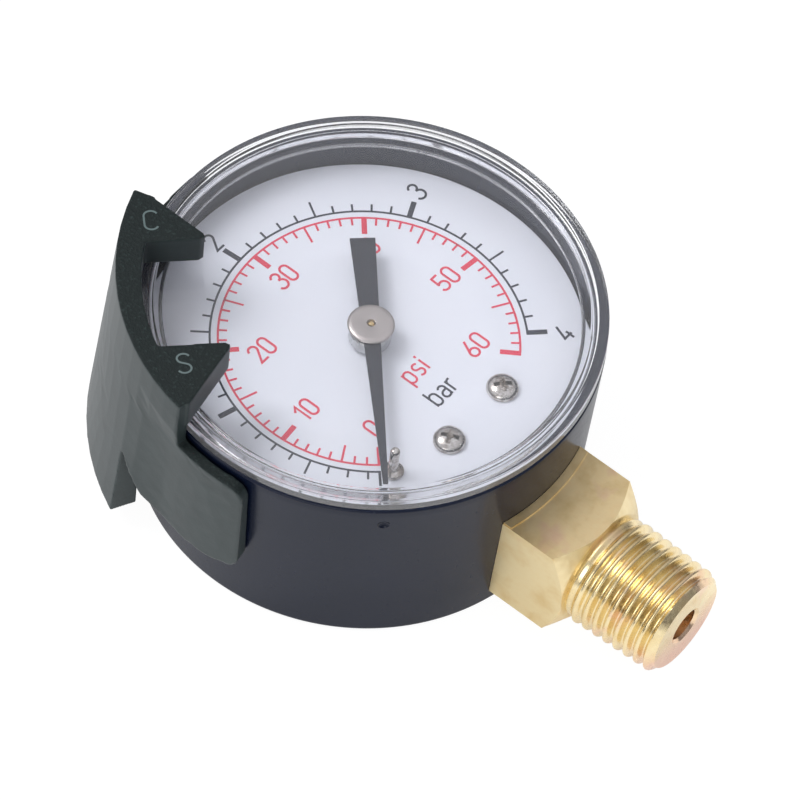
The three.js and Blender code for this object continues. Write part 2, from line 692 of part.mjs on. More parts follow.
const pointerBush = () => ring([
  [BUSH.bore, BUSH.from], [BUSH.radius - 0.15, BUSH.from], [BUSH.radius, BUSH.from + 0.15],
  [BUSH.radius, BUSH.top - 0.15], [BUSH.radius - 0.15, BUSH.top], [BUSH.bore, BUSH.top],
], 24);

function pointerHub() {
  const { radius, face, from, top } = HUB;
  return ring([
    [0.5, from], [radius - 0.12, from], [radius, from + 0.08],
    [radius - 0.08, from + 0.2], [(radius + face) / 2, top - 0.07], [face, top], [0.5, top],
  ], 32);
}

// ---------------------------------------------------------------------- clip
const smooth = (share) => share * share * (3 - 2 * share);
const clamped = (value) => Math.min(1, Math.max(0, value));

// Outer radius at an angle from the middle: the thumb tab flares outward
// towards its foot and fades into the band on both sides, below the wall.
function clipOuter(angle, z) {
  const drop = (CLIP.top - z) / (CLIP.top - CLIP.tabBottom);
  const flare = CLIP.topFlare + 0.018 * angle + (CLIP.tabFlare - CLIP.topFlare) * drop;
  const band = CLIP.outer - 0.005 * angle;
  const away = smooth(clamped((Math.abs(angle) - CLIP.tabHalf) / CLIP.fade));
  const below = 1 - smooth(clamped((z - CLIP.bandTop) / 3.5));
  return band + (flare - band) * (1 - away * below);
}

// Curved panel: an outline of [angle from the middle, height] points bent
// round the dial axis between an inner and an outer radius.
function panel(points, inner, outer, fineness = 2.6) {
  const perDegree = 0.5;
  const sheet = solid(flat(outline(points.map(([angle, z]) => [angle * perDegree, z])), 0, 1));
  return sheet.refineToLength(fineness).warp((vertex) => {
    const [x, z, depth] = vertex;
    const angle = x / perDegree;
    const radius = outer(angle, z) + (inner(angle, z) - outer(angle, z)) * depth;
    const [px, py] = bearing(radius, CLIP.middle + angle);
    [vertex[0], vertex[1], vertex[2]] = [px, py, z];
  });
}

// One end of the band, from its top edge round to the notch beside the tab.
function bandEnd(side) {
  const { bandHalf, bandBottom, bandTop, corner, tabHalf, notchTop } = CLIP;
  const reach = corner / 0.5;
  const points = [];
  for (const [z, from] of [[bandTop - corner, 90], [bandBottom + 1 + corner, 0]]) {
    for (let i = 0; i <= 4; i += 1) {
      const turn = rad(from - (90 * i) / 4);
      points.push([bandHalf - reach + reach * Math.cos(turn), z + corner * Math.sin(turn)]);
    }
  }
  points.push([45, bandBottom + 0.3], [37, bandBottom], [30, bandBottom + 0.3]);
  points.push([24, bandBottom + 1.3], [tabHalf, notchTop]);
  return points.map(([angle, z]) => [side * angle, z]);
}

// Tapered arm: inner edge parallel to the clip middle, outer edge slanted.
function clipArm(side, tip, slant) {
  const [ux, uy] = bearing(1, CLIP.middle);
  const place = (along, across) => [
    along * ux + side * across * uy, along * uy - side * across * ux,
  ];
  const run = 9;
  const points = [
    place(27.2, CLIP.channel), place(tip + 0.5, CLIP.channel), place(tip, CLIP.channel + 0.35),
    place(tip + 0.15, CLIP.channel + 0.8),
    place(tip + 0.15 + run * Math.cos(rad(slant)), CLIP.channel + 0.8 + run * Math.sin(rad(slant))),
  ];
  const slab = solid(flat(outline(points), CLIP.armBottom, CLIP.top));
  return slab.intersect(solid(rod([0, 0], CLIP.outer - 0.5, 0, 40, 96)));
}

function indicatorClip() {
  const { wallFrom, wallTo, top, bandTop, armBottom, tabHalf, tabBottom, notchTop } = CLIP;
  const seat = (z) => (z > CASE.height ? LENS.radius + 0.05 : caseRadius(z)) + GAP;
  const isTab = (angle, z) => Math.abs(angle) <= tabHalf + 0.5 && z < notchTop + 0.5;
  const skirt = panel([
    ...bandEnd(-1).reverse(), [wallFrom, bandTop], [wallFrom, top], [wallTo - 0.6, top],
    [wallTo, top - 0.3], [wallTo, bandTop], ...bandEnd(1), [tabHalf, tabBottom],
    [-tabHalf, tabBottom],
  ].reverse(), (angle, z) => (isTab(angle, z) ? CLIP.tabInner : seat(z)), clipOuter);
  const roof = panel([
    [wallFrom + 0.5, armBottom], [wallTo - 2, armBottom], [wallTo - 2, top],
    [wallFrom + 0.5, top],
  ], () => CLIP.roofInner, () => CLIP.outer - 0.4);
  return skin(union(skirt, roof, clipArm(1, 18.3, 46.5), clipArm(-1, 17, 54)));
}

// ------------------------------------------------------------------ assembly
const gauge = new THREE.Group();
gauge.name = 'pressure_gauge';

function add(name, geometry, material) {
  const clean = sealed(geometry);
  clean.computeVertexNormals();
  const mesh = new THREE.Mesh(clean, material);
  mesh.name = name;
  gauge.add(mesh);
}

add('case_cup', caseCup(), BLACK_PAINT);
add('case_screw_left', caseScrew(-1), STEEL);
add('case_screw_right', caseScrew(1), STEEL);
add('lens', lens(), CLEAR);
add('dial_plate', dialPlate(), WHITE_DIAL);
add('dial_screw_left', dialScrew(-1), NICKEL);
add('dial_screw_right', dialScrew(1), NICKEL);
add('stop_pin', stopPin(), NICKEL);
add('socket_stem', socketStem(), BRASS);
add('restrictor_screw', restrictorScrew(), BRASS);
add('bourdon_tube', bourdonTube(), BRONZE);
add('tube_end_piece', tubeEndPiece(), BRASS);
add('movement_base_plate', basePlate(), BRASS);
add('movement_top_plate', topPlate(), BRASS);
add('base_plate_screw_left', basePlateScrew('left'), STEEL);
add('base_plate_screw_right', basePlateScrew('right'), STEEL);
add('movement_pillar_left', pillar(PILLARS.left), BRASS);
add('movement_pillar_right', pillar(PILLARS.right), BRASS);
add('top_plate_screw_left', topPlateScrew('left'), STEEL);
add('top_plate_screw_right', topPlateScrew('right'), STEEL);
add('sector_gear', sectorGear(), BRASS);
add('sector_arbor', sectorArbor(), STEEL);
add('pinion_arbor', pinionArbor(), BRASS);
add('connecting_link', linkPlate(), BRASS);
add('link_pin_tail', linkPin(TAIL_PIN), STEEL);
add('link_pin_tip', linkPin(TIP_PIN), STEEL);
add('hairspring', hairspring(), BRONZE);
add('hairspring_collet', hairspringCollet(), BRASS);
add('hairspring_stud', hairspringStud(), BRASS);
add('pointer', pointerBlade(), POINTER_BLACK);
add('pointer_bush', pointerBush(), BRASS);
add('pointer_hub', pointerHub(), NICKEL);
add('indicator_clip', indicatorClip(), CLIP_GREEN);

export default gauge;
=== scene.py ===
"""Looks of a small Bourdon-tube pressure gauge, built round its packed mechanical model.

Lengths are millimetres inside the classes and metres in the meshes. Bearings are read
clockwise from the top of the dial, and angles anticlockwise from +X.
"""

import logging
import math
from dataclasses import dataclass, field
from enum import Enum
from functools import cache
from typing import Callable, Iterable, Self, Sequence

import bmesh
import bpy
from mathutils import Matrix, Vector


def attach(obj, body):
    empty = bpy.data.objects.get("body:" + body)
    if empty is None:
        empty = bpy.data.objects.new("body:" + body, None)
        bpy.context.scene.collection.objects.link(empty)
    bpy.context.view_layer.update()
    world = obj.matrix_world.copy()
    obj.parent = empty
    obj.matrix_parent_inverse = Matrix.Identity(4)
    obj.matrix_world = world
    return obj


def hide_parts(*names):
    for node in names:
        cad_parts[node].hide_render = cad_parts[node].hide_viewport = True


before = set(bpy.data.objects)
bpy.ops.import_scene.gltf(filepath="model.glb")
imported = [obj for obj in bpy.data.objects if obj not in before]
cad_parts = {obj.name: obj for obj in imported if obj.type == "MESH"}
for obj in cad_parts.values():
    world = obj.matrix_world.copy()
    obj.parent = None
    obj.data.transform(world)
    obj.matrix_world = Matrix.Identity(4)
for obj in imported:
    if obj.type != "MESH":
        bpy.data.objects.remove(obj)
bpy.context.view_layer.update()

log = logging.getLogger("gauge")

MM = 0.001
SHARP_EDGE = 25.0
STROKE_LEVELS = 23
STROKE_STEP = 0.0007
PSI_PER_TENTH_BAR = 1.45038
Point2 = tuple[float, float]
Colour = tuple[float, float, float]
Socket = bpy.types.NodeSocket
Glyph = tuple[float, list[tuple[list[Point2], bool]]]


# ------------------------------------------------------------------ plain geometry
def polar(radius: float, degrees: float) -> Point2:
    """Point at a radius and an angle from +X."""
    return radius * math.cos(math.radians(degrees)), radius * math.sin(math.radians(degrees))


def at_bearing(radius: float, degrees: float) -> Point2:
    """Point at a radius and a bearing clockwise from the top of the dial."""
    return polar(radius, 90.0 - degrees)


def arc_points(centre: Point2, radius: float, start: float, end: float, steps: int) -> list[Point2]:
    """Points along a circular arc.

    Args:
        centre: Middle of the arc.
        radius: Radius of the arc.
        start: First angle in degrees from +X.
        end: Last angle in degrees.
        steps: Number of chords.

    Returns:
        steps + 1 points from start to end.
    """
    points = []
    for i in range(steps + 1):
        dx, dy = polar(radius, start + (end - start) * i / steps)
        points.append((centre[0] + dx, centre[1] + dy))
    return points


def rounded(profile: Sequence[Point2], radius: float, steps: int = 4) -> list[Point2]:
    """Profile with every corner off the axis replaced by a small arc.

    Args:
        profile: Open chain of (radius, height) points.
        radius: Corner radius, made smaller where a side is short.
        steps: Chords in each corner.

    Returns:
        The softened chain, with the same first and last point.
    """
    soft: list[Point2] = [profile[0]]
    for before, here, after in zip(profile, profile[1:], profile[2:]):
        a, b, c = Vector(before), Vector(here), Vector(after)
        back, ahead = a - b, c - b
        reach = min(radius, back.length * 0.45, ahead.length * 0.45)
        if reach < 1e-4:
            soft.append(here)
            continue
        start, end = b + back.normalized() * reach, b + ahead.normalized() * reach
        for i in range(steps + 1):
            t = i / steps
            point = start * (1 - t) ** 2 + b * (2 * t * (1 - t)) + end * t**2
            soft.append((point.x, point.y))
    soft.append(profile[-1])
    return soft


def towards(azimuth: float, elevation: float) -> Vector:
    """Direction at an azimuth from -Y and an elevation, in degrees."""
    a, e = math.radians(azimuth), math.radians(elevation)
    return Vector((math.sin(a) * math.cos(e), -math.cos(a) * math.cos(e), math.sin(e)))


def add_object(name: str, data: bpy.types.ID) -> bpy.types.Object:
    """Adds an object with the given data to the scene.

    Args:
        name: Name of the object.
        data: Its mesh, light or camera.

    Returns:
        The new object.
    """
    made = bpy.data.objects.new(name, data)
    bpy.context.scene.collection.objects.link(made)
    return made


class Axis(Enum):
    """Axis that a turned piece is made round."""

    DIAL = "dial"
    STEM = "stem"


@dataclass
class Solid:
    """A closed mesh under construction, held in a bmesh in millimetres.

    Attributes:
        name: Name of the piece it becomes.
        mesh: The bmesh being built.
    """

    name: str
    mesh: bmesh.types.BMesh = field(default_factory=bmesh.new)

    def turned(self, profile: Sequence[Point2], segments: int = 192, closed: bool = False) -> Self:
        """Adds a body of revolution round Z.

        Args:
            profile: (radius, height) chain, from the axis back to it, or a loop if closed.
            segments: Facets round the axis.
            closed: True for a ring, whose profile joins up.

        Returns:
            This solid, for chaining.
        """
        rings: list[list[bmesh.types.BMVert]] = []
        for radius, height in profile:
            if radius < 1e-6:
                rings.append([self.mesh.verts.new((0, 0, height))])
                continue
            rings.append([
                self.mesh.verts.new((*polar(radius, 360 * i / segments), height))
                for i in range(segments)
            ])
        pairs = list(zip(rings, rings[1:]))
        if closed:
            pairs.append((rings[-1], rings[0]))
        for low, high in pairs:
            for i in range(segments):
                j = (i + 1) % segments
                corners = [low[i % len(low)], low[j % len(low)], high[j % len(high)], high[i % len(high)]]
                unique = list(dict.fromkeys(corners))
                if len(unique) > 2:
                    self.mesh.faces.new(unique)
        return self

    def rod(self, radius: float, low: float, high: float, segments: int) -> Self:
        """Adds a round bar on the Z axis."""
        return self.turned([(0, low), (radius, low), (radius, high), (0, high)], segments)

    def prism(self, outline: Sequence[Point2], low: float, high: float) -> Self:
        """Adds an upright prism on an outline that is given anticlockwise.

        Args:
            outline: Corners of the outline.
            low: Height of its foot.
            high: Height of its head.

        Returns:
            This solid, for chaining.
        """
        foot = [self.mesh.verts.new((x, y, low)) for x, y in outline]
        head = [self.mesh.verts.new((x, y, high)) for x, y in outline]
        self.mesh.faces.new(list(reversed(foot)))
        self.mesh.faces.new(head)
        for i in range(len(outline)):
            j = (i + 1) % len(outline)
            self.mesh.faces.new([foot[i], foot[j], head[j], head[i]])
        return self

    def block(self, low: Sequence[float], high: Sequence[float]) -> Self:
        """Adds a box between two corners."""
        outline = [(low[0], low[1]), (high[0], low[1]), (high[0], high[1]), (low[0], high[1])]
        return self.prism(outline, low[2], high[2])

    def move(self, matrix: Matrix) -> Self:
        """Moves everything built so far."""
        bmesh.ops.transform(self.mesh, matrix=matrix, verts=self.mesh.verts)
        return self

    def shift(self, x: float, y: float, z: float) -> Self:
        """Slides everything built so far, in millimetres."""
        return self.move(Matrix.Translation((x, y, z)))

    def spin(self, degrees: float) -> Self:
        """Turns everything built so far about Z."""
        return self.move(Matrix.Rotation(math.radians(degrees), 4, "Z"))

    def along_stem(self, height: float) -> Self:
        """Lays a body made round Z down along -Y at a height."""
        lay = Matrix.Rotation(math.radians(90), 4, "X")
        return self.move(Matrix.Translation((0, 0, height)) @ lay)

    def soften(self, width: float, steps: int = 3) -> Self:
        """Bevels every sharp edge.

        Args:
            width: Width of the bevel.
            steps: Facets across it.

        Returns:
            This solid, for chaining.
        """
        limit = math.radians(SHARP_EDGE)
        edges = [e for e in self.mesh.edges if len(e.link_faces) == 2 and e.calc_face_angle() > limit]
        bmesh.ops.bevel(
            self.mesh, geom=edges, offset=width, segments=steps, profile=0.5,
            affect="EDGES", clamp_overlap=True,
        )
        return self

    def object(self, smooth_below: float = 32.0) -> bpy.types.Object:
        """Turns the bmesh into an object in metres, with its sharp edges kept sharp.

        Args:
            smooth_below: Edges sharper than this stay sharp, in degrees.

        Returns:
            The new object.
        """
        bmesh.ops.recalc_face_normals(self.mesh, faces=self.mesh.faces)
        data = bpy.data.meshes.new(self.name)
        self.mesh.transform(Matrix.Scale(MM, 4))
        self.mesh.to_mesh(data)
        self.mesh.free()
        made = add_object(self.name, data)
        shade(made, smooth_below)
        return made


def shade(piece: bpy.types.Object, smooth_below: float) -> None:
    """Smooth shading, broken at every edge sharper than the given angle in degrees.

    Args:
        piece: The piece to shade.
        smooth_below: The angle in degrees.
    """
    for polygon in piece.data.polygons:
        polygon.use_smooth = True
    piece.data.set_sharp_from_angle(angle=math.radians(smooth_below))


def bake_modifiers(piece: bpy.types.Object) -> None:
    """Replaces a piece's mesh by what its modifiers make of it, and drops them.

    Args:
        piece: The piece to change.
    """
    bpy.context.view_layer.update()
    graph = bpy.context.evaluated_depsgraph_get()
    old = piece.data
    piece.data = bpy.data.meshes.new_from_object(piece.evaluated_get(graph))
    piece.modifiers.clear()
    piece.data.name = piece.name
    bpy.data.meshes.remove(old)


class Join(Enum):
    """How two solids are combined."""

    CUT = "DIFFERENCE"
    WELD = "UNION"
    COMMON = "INTERSECT"


def combine(
    piece: bpy.types.Object, how: Join, tools: Iterable[Solid | bpy.types.Object], smooth_below: float = 32.0,
) -> None:
    """Cuts, welds or intersects a piece with tools that are used up.

    Args:
        piece: The piece to change.
        how: Kind of combination.
        tools: Solids or finished objects to combine it with.
        smooth_below: Edges sharper than this stay sharp, in degrees.
    """
    spent = []
    for tool in tools:
        other = tool.object() if isinstance(tool, Solid) else tool
        change = piece.modifiers.new(tool.name, "BOOLEAN")
        change.operation = how.value
        change.solver = "EXACT"
        change.object = other
        spent.append(other)
    bake_modifiers(piece)
    for other in spent:
        data = other.data
        bpy.data.objects.remove(other)
        bpy.data.meshes.remove(data)
    shade(piece, smooth_below)


# ------------------------------------------------------------------------ finishes
class Lay(Enum):
    """Direction in which a surface was worked."""

    NONE = "none"
    ROUND_DIAL = "turned round the dial axis"
    ROUND_STEM = "turned round the stem axis"
    DRAWN = "drawn along the stem"


@dataclass(frozen=True)
class Shader:
    """Small helper that builds the node tree of a material or of the room.

    Attributes:
        owner: The material or world that is being built.
    """

    owner: bpy.types.Material | bpy.types.World

    @classmethod
    def start(cls, name: str) -> Self:
        """New empty node material."""
        return cls.clear(bpy.data.materials.new(name))

    @classmethod
    def clear(cls, owner: bpy.types.Material | bpy.types.World) -> Self:
        """Empties the node tree of a material or world.

        Args:
            owner: The material or world.

        Returns:
            A helper that fills it.
        """
        owner.use_nodes = True
        owner.node_tree.nodes.clear()
        return cls(owner)

    def node(self, kind: str, **values: object) -> bpy.types.Node:
        """Adds a node.

        Args:
            kind: Kind of the node.
            values: Its properties, or its inputs with spaces as underscores.

        Returns:
            The new node.
        """
        made = self.owner.node_tree.nodes.new(kind)
        for key, value in values.items():
            label = key.replace("_", " ")
            if isinstance(value, Socket):
                self.link(value, made.inputs[label])
            elif label in made.inputs:
                made.inputs[label].default_value = value
            else:
                setattr(made, key, value)
        return made

    def link(self, source: Socket, target: Socket) -> None:
        """Joins an output to an input."""
        self.owner.node_tree.links.new(source, target)

    def join(self, kind: str, *sources: bpy.types.Node | Socket) -> bpy.types.Node:
        """Adds a node whose inputs are fed in order.

        Args:
            kind: Kind of the node.
            sources: Sockets, or nodes whose first output is used.

        Returns:
            The new node.
        """
        made = self.node(kind)
        for source, target in zip(sources, made.inputs):
            self.link(source.outputs[0] if isinstance(source, bpy.types.Node) else source, target)
        return made

    def place(self, scale: Sequence[float] = (1, 1, 1)) -> Socket:
        """Position on the piece in millimetres, stretched by a scale.

        Args:
            scale: Stretch along each axis.

        Returns:
            The position.
        """
        where = self.node("ShaderNodeTexCoord")
        mapping = self.node("ShaderNodeMapping", Vector=where.outputs["Object"])
        mapping.inputs["Scale"].default_value = [s / MM for s in scale]
        return mapping.outputs["Vector"]

    def maths(self, operation: str, first: object, second: object = 0.0) -> Socket:
        """Result of a maths node on numbers or sockets.

        Args:
            operation: Name of the operation.
            first: First number or socket.
            second: Second number or socket.

        Returns:
            The result's socket.
        """
        made = self.node("ShaderNodeMath", operation=operation)
        for value, socket in zip((first, second), made.inputs):
            if isinstance(value, Socket):
                self.link(value, socket)
            else:
                socket.default_value = value
        return made.outputs["Value"]

    def radius(self, axis: Axis, height: float = 0.0) -> Socket:
        """Distance from the dial axis, or from the stem axis at a height.

        Args:
            axis: The axis.
            height: Height of the stem axis.

        Returns:
            The distance in millimetres.
        """
        apart = self.node("ShaderNodeSeparateXYZ", Vector=self.place())
        if axis is Axis.DIAL:
            across = apart.outputs["Y"]
        else:
            across = self.maths("SUBTRACT", apart.outputs["Z"], height)
        first = self.maths("POWER", apart.outputs["X"], 2.0)
        second = self.maths("POWER", across, 2.0)
        return self.maths("SQRT", self.maths("ADD", first, second))

    def noise(self, scale: float, detail: float = 3.0, stretch: Sequence[float] = (1, 1, 1)) -> Socket:
        """Grey noise, scale in cycles per millimetre."""
        made = self.node("ShaderNodeTexNoise", Vector=self.place(stretch), Scale=scale, Detail=detail)
        return made.outputs["Fac"]

    def rings(self, axis: Axis, scale: float, height: float = 0.0) -> Socket:
        """Uneven rings round an axis, like fine tool marks."""
        made = self.node(
            "ShaderNodeTexNoise", noise_dimensions="1D", W=self.radius(axis, height), Scale=scale, Detail=2.0,
        )
        return made.outputs["Fac"]

    def blend(self, amount: object, first: object, second: object) -> Socket:
        """Colour mixed between two colours or colour sockets.

        Args:
            amount: Share of the second colour.
            first: First colour.
            second: Second colour.

        Returns:
            The mixed colour.
        """
        made = self.node("ShaderNodeMix", data_type="RGBA")
        for value, index in ((amount, 0), (first, 6), (second, 7)):
            if isinstance(value, Socket):
                self.link(value, made.inputs[index])
            elif index == 0:
                made.inputs[index].default_value = value
            else:
                made.inputs[index].default_value = (*value, 1.0)
        return made.outputs[2]

    def spread(
        self, value: Socket, low: float, high: float, start: float = 0.3, end: float = 0.7,
    ) -> Socket:
        """Value mapped from one range to another and held there.

        Args:
            value: The value to map.
            low: Result at the start.
            high: Result at the end.
            start: Value where the change starts.
            end: Value where it ends.

        Returns:
            The mapped value.
        """
        made = self.node("ShaderNodeMapRange", Value=value)
        for label, number in (("From Min", start), ("From Max", end), ("To Min", low), ("To Max", high)):
            made.inputs[label].default_value = number
        return made.outputs["Result"]

    def bump(self, height: Socket, depth: float, under: Socket | None = None) -> Socket:
        """Normal from a height pattern.

        Args:
            height: The pattern.
            depth: Its depth in millimetres.
            under: Normal of a pattern below it.

        Returns:
            The normal.
        """
        made = self.node("ShaderNodeBump", Height=height)
        made.inputs["Distance"].default_value = depth * MM
        made.inputs["Strength"].default_value = 1.0
        if under is not None:
            self.link(under, made.inputs["Normal"])
        return made.outputs["Normal"]

    def finish(
        self, shader: bpy.types.Node, output: str = "ShaderNodeOutputMaterial",
    ) -> bpy.types.Material | bpy.types.World:
        """Joins the last shader to the output.

        Args:
            shader: The last shader.
            output: Kind of the output node.

        Returns:
            The finished material or world.
        """
        self.node(output, Surface=shader.outputs[0])
        return self.owner


@dataclass(frozen=True)
class Metal:
    """Machined or plated metal.

    Attributes:
        name: Material name.
        colour: Clean colour.
        stained: Colour of the duller patches.
        smooth: Lowest roughness.
        rough: Highest roughness.
        lay: Direction of the tool marks.
        marks: Tool marks per millimetre.
        depth: Depth of the marks in millimetres.
        patches: Patches per millimetre.
    """

    name: str
    colour: Colour
    stained: Colour
    smooth: float = 0.2
    rough: float = 0.35
    lay: Lay = Lay.NONE
    marks: float = 6.0
    depth: float = 0.004
    patches: float = 0.35

    def material(self) -> bpy.types.Material:
        """Builds the material.

        Returns:
            The new material.
        """
        s = Shader.start(self.name)
        if self.lay is Lay.ROUND_DIAL:
            marks = s.rings(Axis.DIAL, self.marks)
        else:
            marks = s.noise(self.marks, 4.0)
        patches = s.noise(self.patches, 4.0)
        colour = s.blend(s.spread(patches, 0.0, 1.0, 0.42, 0.68), self.colour, self.stained)
        grime = s.spread(s.noise(self.patches * 6, 5.0), self.smooth, self.rough, 0.35, 0.65)
        shader = s.node("ShaderNodeBsdfPrincipled", Base_Color=colour, Roughness=grime, Metallic=1.0)
        s.link(s.bump(marks, self.depth), shader.inputs["Normal"])
        return s.finish(shader)


@dataclass(frozen=True)
class StainedBrass:
    """Bright brass of the stem with a painted shade that turns the faces that look up browner, and a coppery
    tint low on the thread's end.

    Attributes:
        name: Material name.
        lay: Direction of the tool marks.
        colour: Clean brass.
        warm: Browner brass of the duller patches.
        painted_top_shade: Painted shade, the colour given to the faces that look up.
        copper: Tint of the stain.
        smooth: Lowest roughness.
        rough: Highest roughness.
        stain_from: Distance along the stem where the stain starts.
        stain_to: Distance where it is full.
        axis_height: Height of the stem axis.
    """

    name: str
    lay: Lay
    colour: Colour = (0.88, 0.73, 0.43)
    warm: Colour = (0.76, 0.56, 0.26)
    painted_top_shade: Colour = (0.95, 0.74, 0.42)
    copper: Colour = (0.82, 0.50, 0.40)
    smooth: float = 0.15
    rough: float = 0.30
    stain_from: float = 42.6
    stain_to: float = 45.6
    axis_height: float = 9.5

    def material(self) -> bpy.types.Material:
        """Builds the material.

        Returns:
            The new material.
        """
        s = Shader.start(self.name)
        patches = s.spread(s.noise(0.32, 5.0), 0.0, 0.75, 0.46, 0.7)
        clean = s.blend(patches, self.colour, self.warm)
        facing = s.node("ShaderNodeNewGeometry")
        normal = s.node("ShaderNodeSeparateXYZ", Vector=facing.outputs["True Normal"])
        upward = s.spread(normal.outputs["Z"], 0.0, 0.8, 0.75, 0.97)
        # Painted shade: faces that look up get a browner colour, standing in for the dimmer light they
        # reflect.
        base = s.blend(upward, clean, s.blend(patches, self.painted_top_shade, self.warm))
        smudge = s.spread(s.noise(0.21, 3.0), 0.0, 0.45, 0.60, 0.72)
        base = s.blend(smudge, base, self.copper)
        apart = s.node("ShaderNodeSeparateXYZ", Vector=s.place())
        far = s.spread(apart.outputs["Y"], 0.0, 1.0, -self.stain_from, -self.stain_to)
        low = s.spread(apart.outputs["Z"], 1.0, 0.0, self.axis_height - 3.5, self.axis_height + 1.5)
        stain = s.maths("MULTIPLY", s.maths("MULTIPLY", far, low), 0.8)
        colour = s.blend(stain, base, self.copper)
        worn = s.spread(s.noise(1.6, 5.0), self.smooth, self.rough, 0.35, 0.65)
        rough = s.maths("ADD", worn, s.maths("MULTIPLY", upward, 0.2))
        shader = s.node("ShaderNodeBsdfPrincipled", Base_Color=colour, Roughness=rough, Metallic=1.0)
        if self.lay is Lay.ROUND_STEM:
            marks = s.rings(Axis.STEM, 5.0, self.axis_height)
        else:
            marks = s.noise(5.0, 2.0, (1.0, 0.05, 1.0))
        normal_marks = s.bump(marks, 0.006)
        s.link(s.bump(s.noise(0.5, 2.0), 0.03, normal_marks), shader.inputs["Normal"])
        return s.finish(shader)


@dataclass(frozen=True)
class Lacquer:
    """Sprayed lacquer with a little orange peel.

    Attributes:
        name: Material name.
        colour: Main colour.
        other: Colour of the fainter cloud.
        roughness: Mean roughness.
        peel: Peel bumps per millimetre.
        depth: Peel depth in millimetres.
        gloss: Strength of the reflection, 0.5 for a common plastic or paint.
    """

    name: str
    colour: Colour
    other: Colour
    roughness: float = 0.3
    peel: float = 1.6
    depth: float = 0.01
    gloss: float = 0.5

    def material(self) -> bpy.types.Material:
        """Builds the material.

        Returns:
            The new material.
        """
        s = Shader.start(self.name)
        colour = s.blend(s.spread(s.noise(0.12, 3.0), 0.0, 1.0), self.colour, self.other)
        rough = s.spread(s.noise(2.4, 4.0), self.roughness * 0.85, self.roughness * 1.15)
        shader = s.node("ShaderNodeBsdfPrincipled", Base_Color=colour, Roughness=rough)
        shader.inputs["Specular IOR Level"].default_value = self.gloss
        s.link(s.bump(s.noise(self.peel, 2.0), self.depth), shader.inputs["Normal"])
        return s.finish(shader)


@dataclass(frozen=True)
class ClearPlastic:
    """Clear moulded plastic that lets light through to what lies behind it.

    Attributes:
        name: Material name.
        tint: Tint seen through the thickness.
        ior: Refractive index.
        haze: Share of the light scattered by fine scuffs.
        border: Radius from which the moulded border is satin.
        satin: Roughness of the border.
    """

    name: str
    tint: Colour = (0.985, 0.985, 0.995)
    ior: float = 1.49
    haze: float = 0.025
    border: float = 24.4
    satin: float = 0.11

    def material(self) -> bpy.types.Material:
        """Builds the material.

        Returns:
            The new material.
        """
        s = Shader.start(self.name)
        rough = s.spread(s.radius(Axis.DIAL), 0.0, self.satin, self.border, self.border + 0.4)
        glass = s.node("ShaderNodeBsdfPrincipled", Roughness=rough)
        glass.inputs["Base Color"].default_value = (*self.tint, 1.0)
        glass.inputs["Transmission Weight"].default_value = 1.0 - self.haze
        glass.inputs["IOR"].default_value = self.ior
        s.link(s.bump(s.noise(0.12, 1.0), 0.006), glass.inputs["Normal"])
        clear = s.node("ShaderNodeBsdfTransparent")
        clear.inputs["Color"].default_value = (*self.tint, 1.0)
        shadow = s.node("ShaderNodeLightPath").outputs["Is Shadow Ray"]
        return s.finish(s.join("ShaderNodeMixShader", shadow, glass, clear))


@dataclass(frozen=True)
class MouldedPlastic:
    """Dark moulded plastic: sparked texture on top; the smoother outer face is painted paler, a painted
    sheen.

    Attributes:
        name: Material name.
        top: Colour of the textured top.
        fleck: Colour of the lighter flecks.
        side: Colour of the smooth outer face, painted paler than the top as a painted sheen.
    """

    name: str
    top: Colour = (0.009, 0.016, 0.0155)
    fleck: Colour = (0.030, 0.048, 0.046)
    side: Colour = (0.034, 0.048, 0.048)

    def material(self) -> bpy.types.Material:
        """Builds the material.

        Returns:
            The new material.
        """
        s = Shader.start(self.name)
        facing = s.node("ShaderNodeNewGeometry")
        normal = s.node("ShaderNodeSeparateXYZ", Vector=facing.outputs["Normal"])
        up = s.spread(normal.outputs["Z"], 0.0, 1.0, 0.45, 0.75)
        grain = s.noise(3.2, 6.0)
        flecks = s.blend(s.spread(grain, 0.0, 1.0, 0.56, 0.74), self.top, self.fleck)
        side = s.blend(s.spread(s.noise(0.4, 3.0), 0.0, 1.0), self.side, tuple(c * 0.8 for c in self.side))
        # Painted sheen: faces that look sideways take the paler side colour, and faces that look up take the
        # darker flecked top.
        colour = s.blend(up, side, flecks)
        rough = s.spread(up, 0.42, 0.62, 0.0, 1.0)
        shader = s.node("ShaderNodeBsdfPrincipled", Base_Color=colour, Roughness=rough)
        shader.inputs["Specular IOR Level"].default_value = 0.35
        fine = s.bump(s.noise(2.2, 3.0), 0.012)
        coarse = s.maths("MULTIPLY", grain, up)
        s.link(s.bump(coarse, 0.16, fine), shader.inputs["Normal"])
        return s.finish(shader)


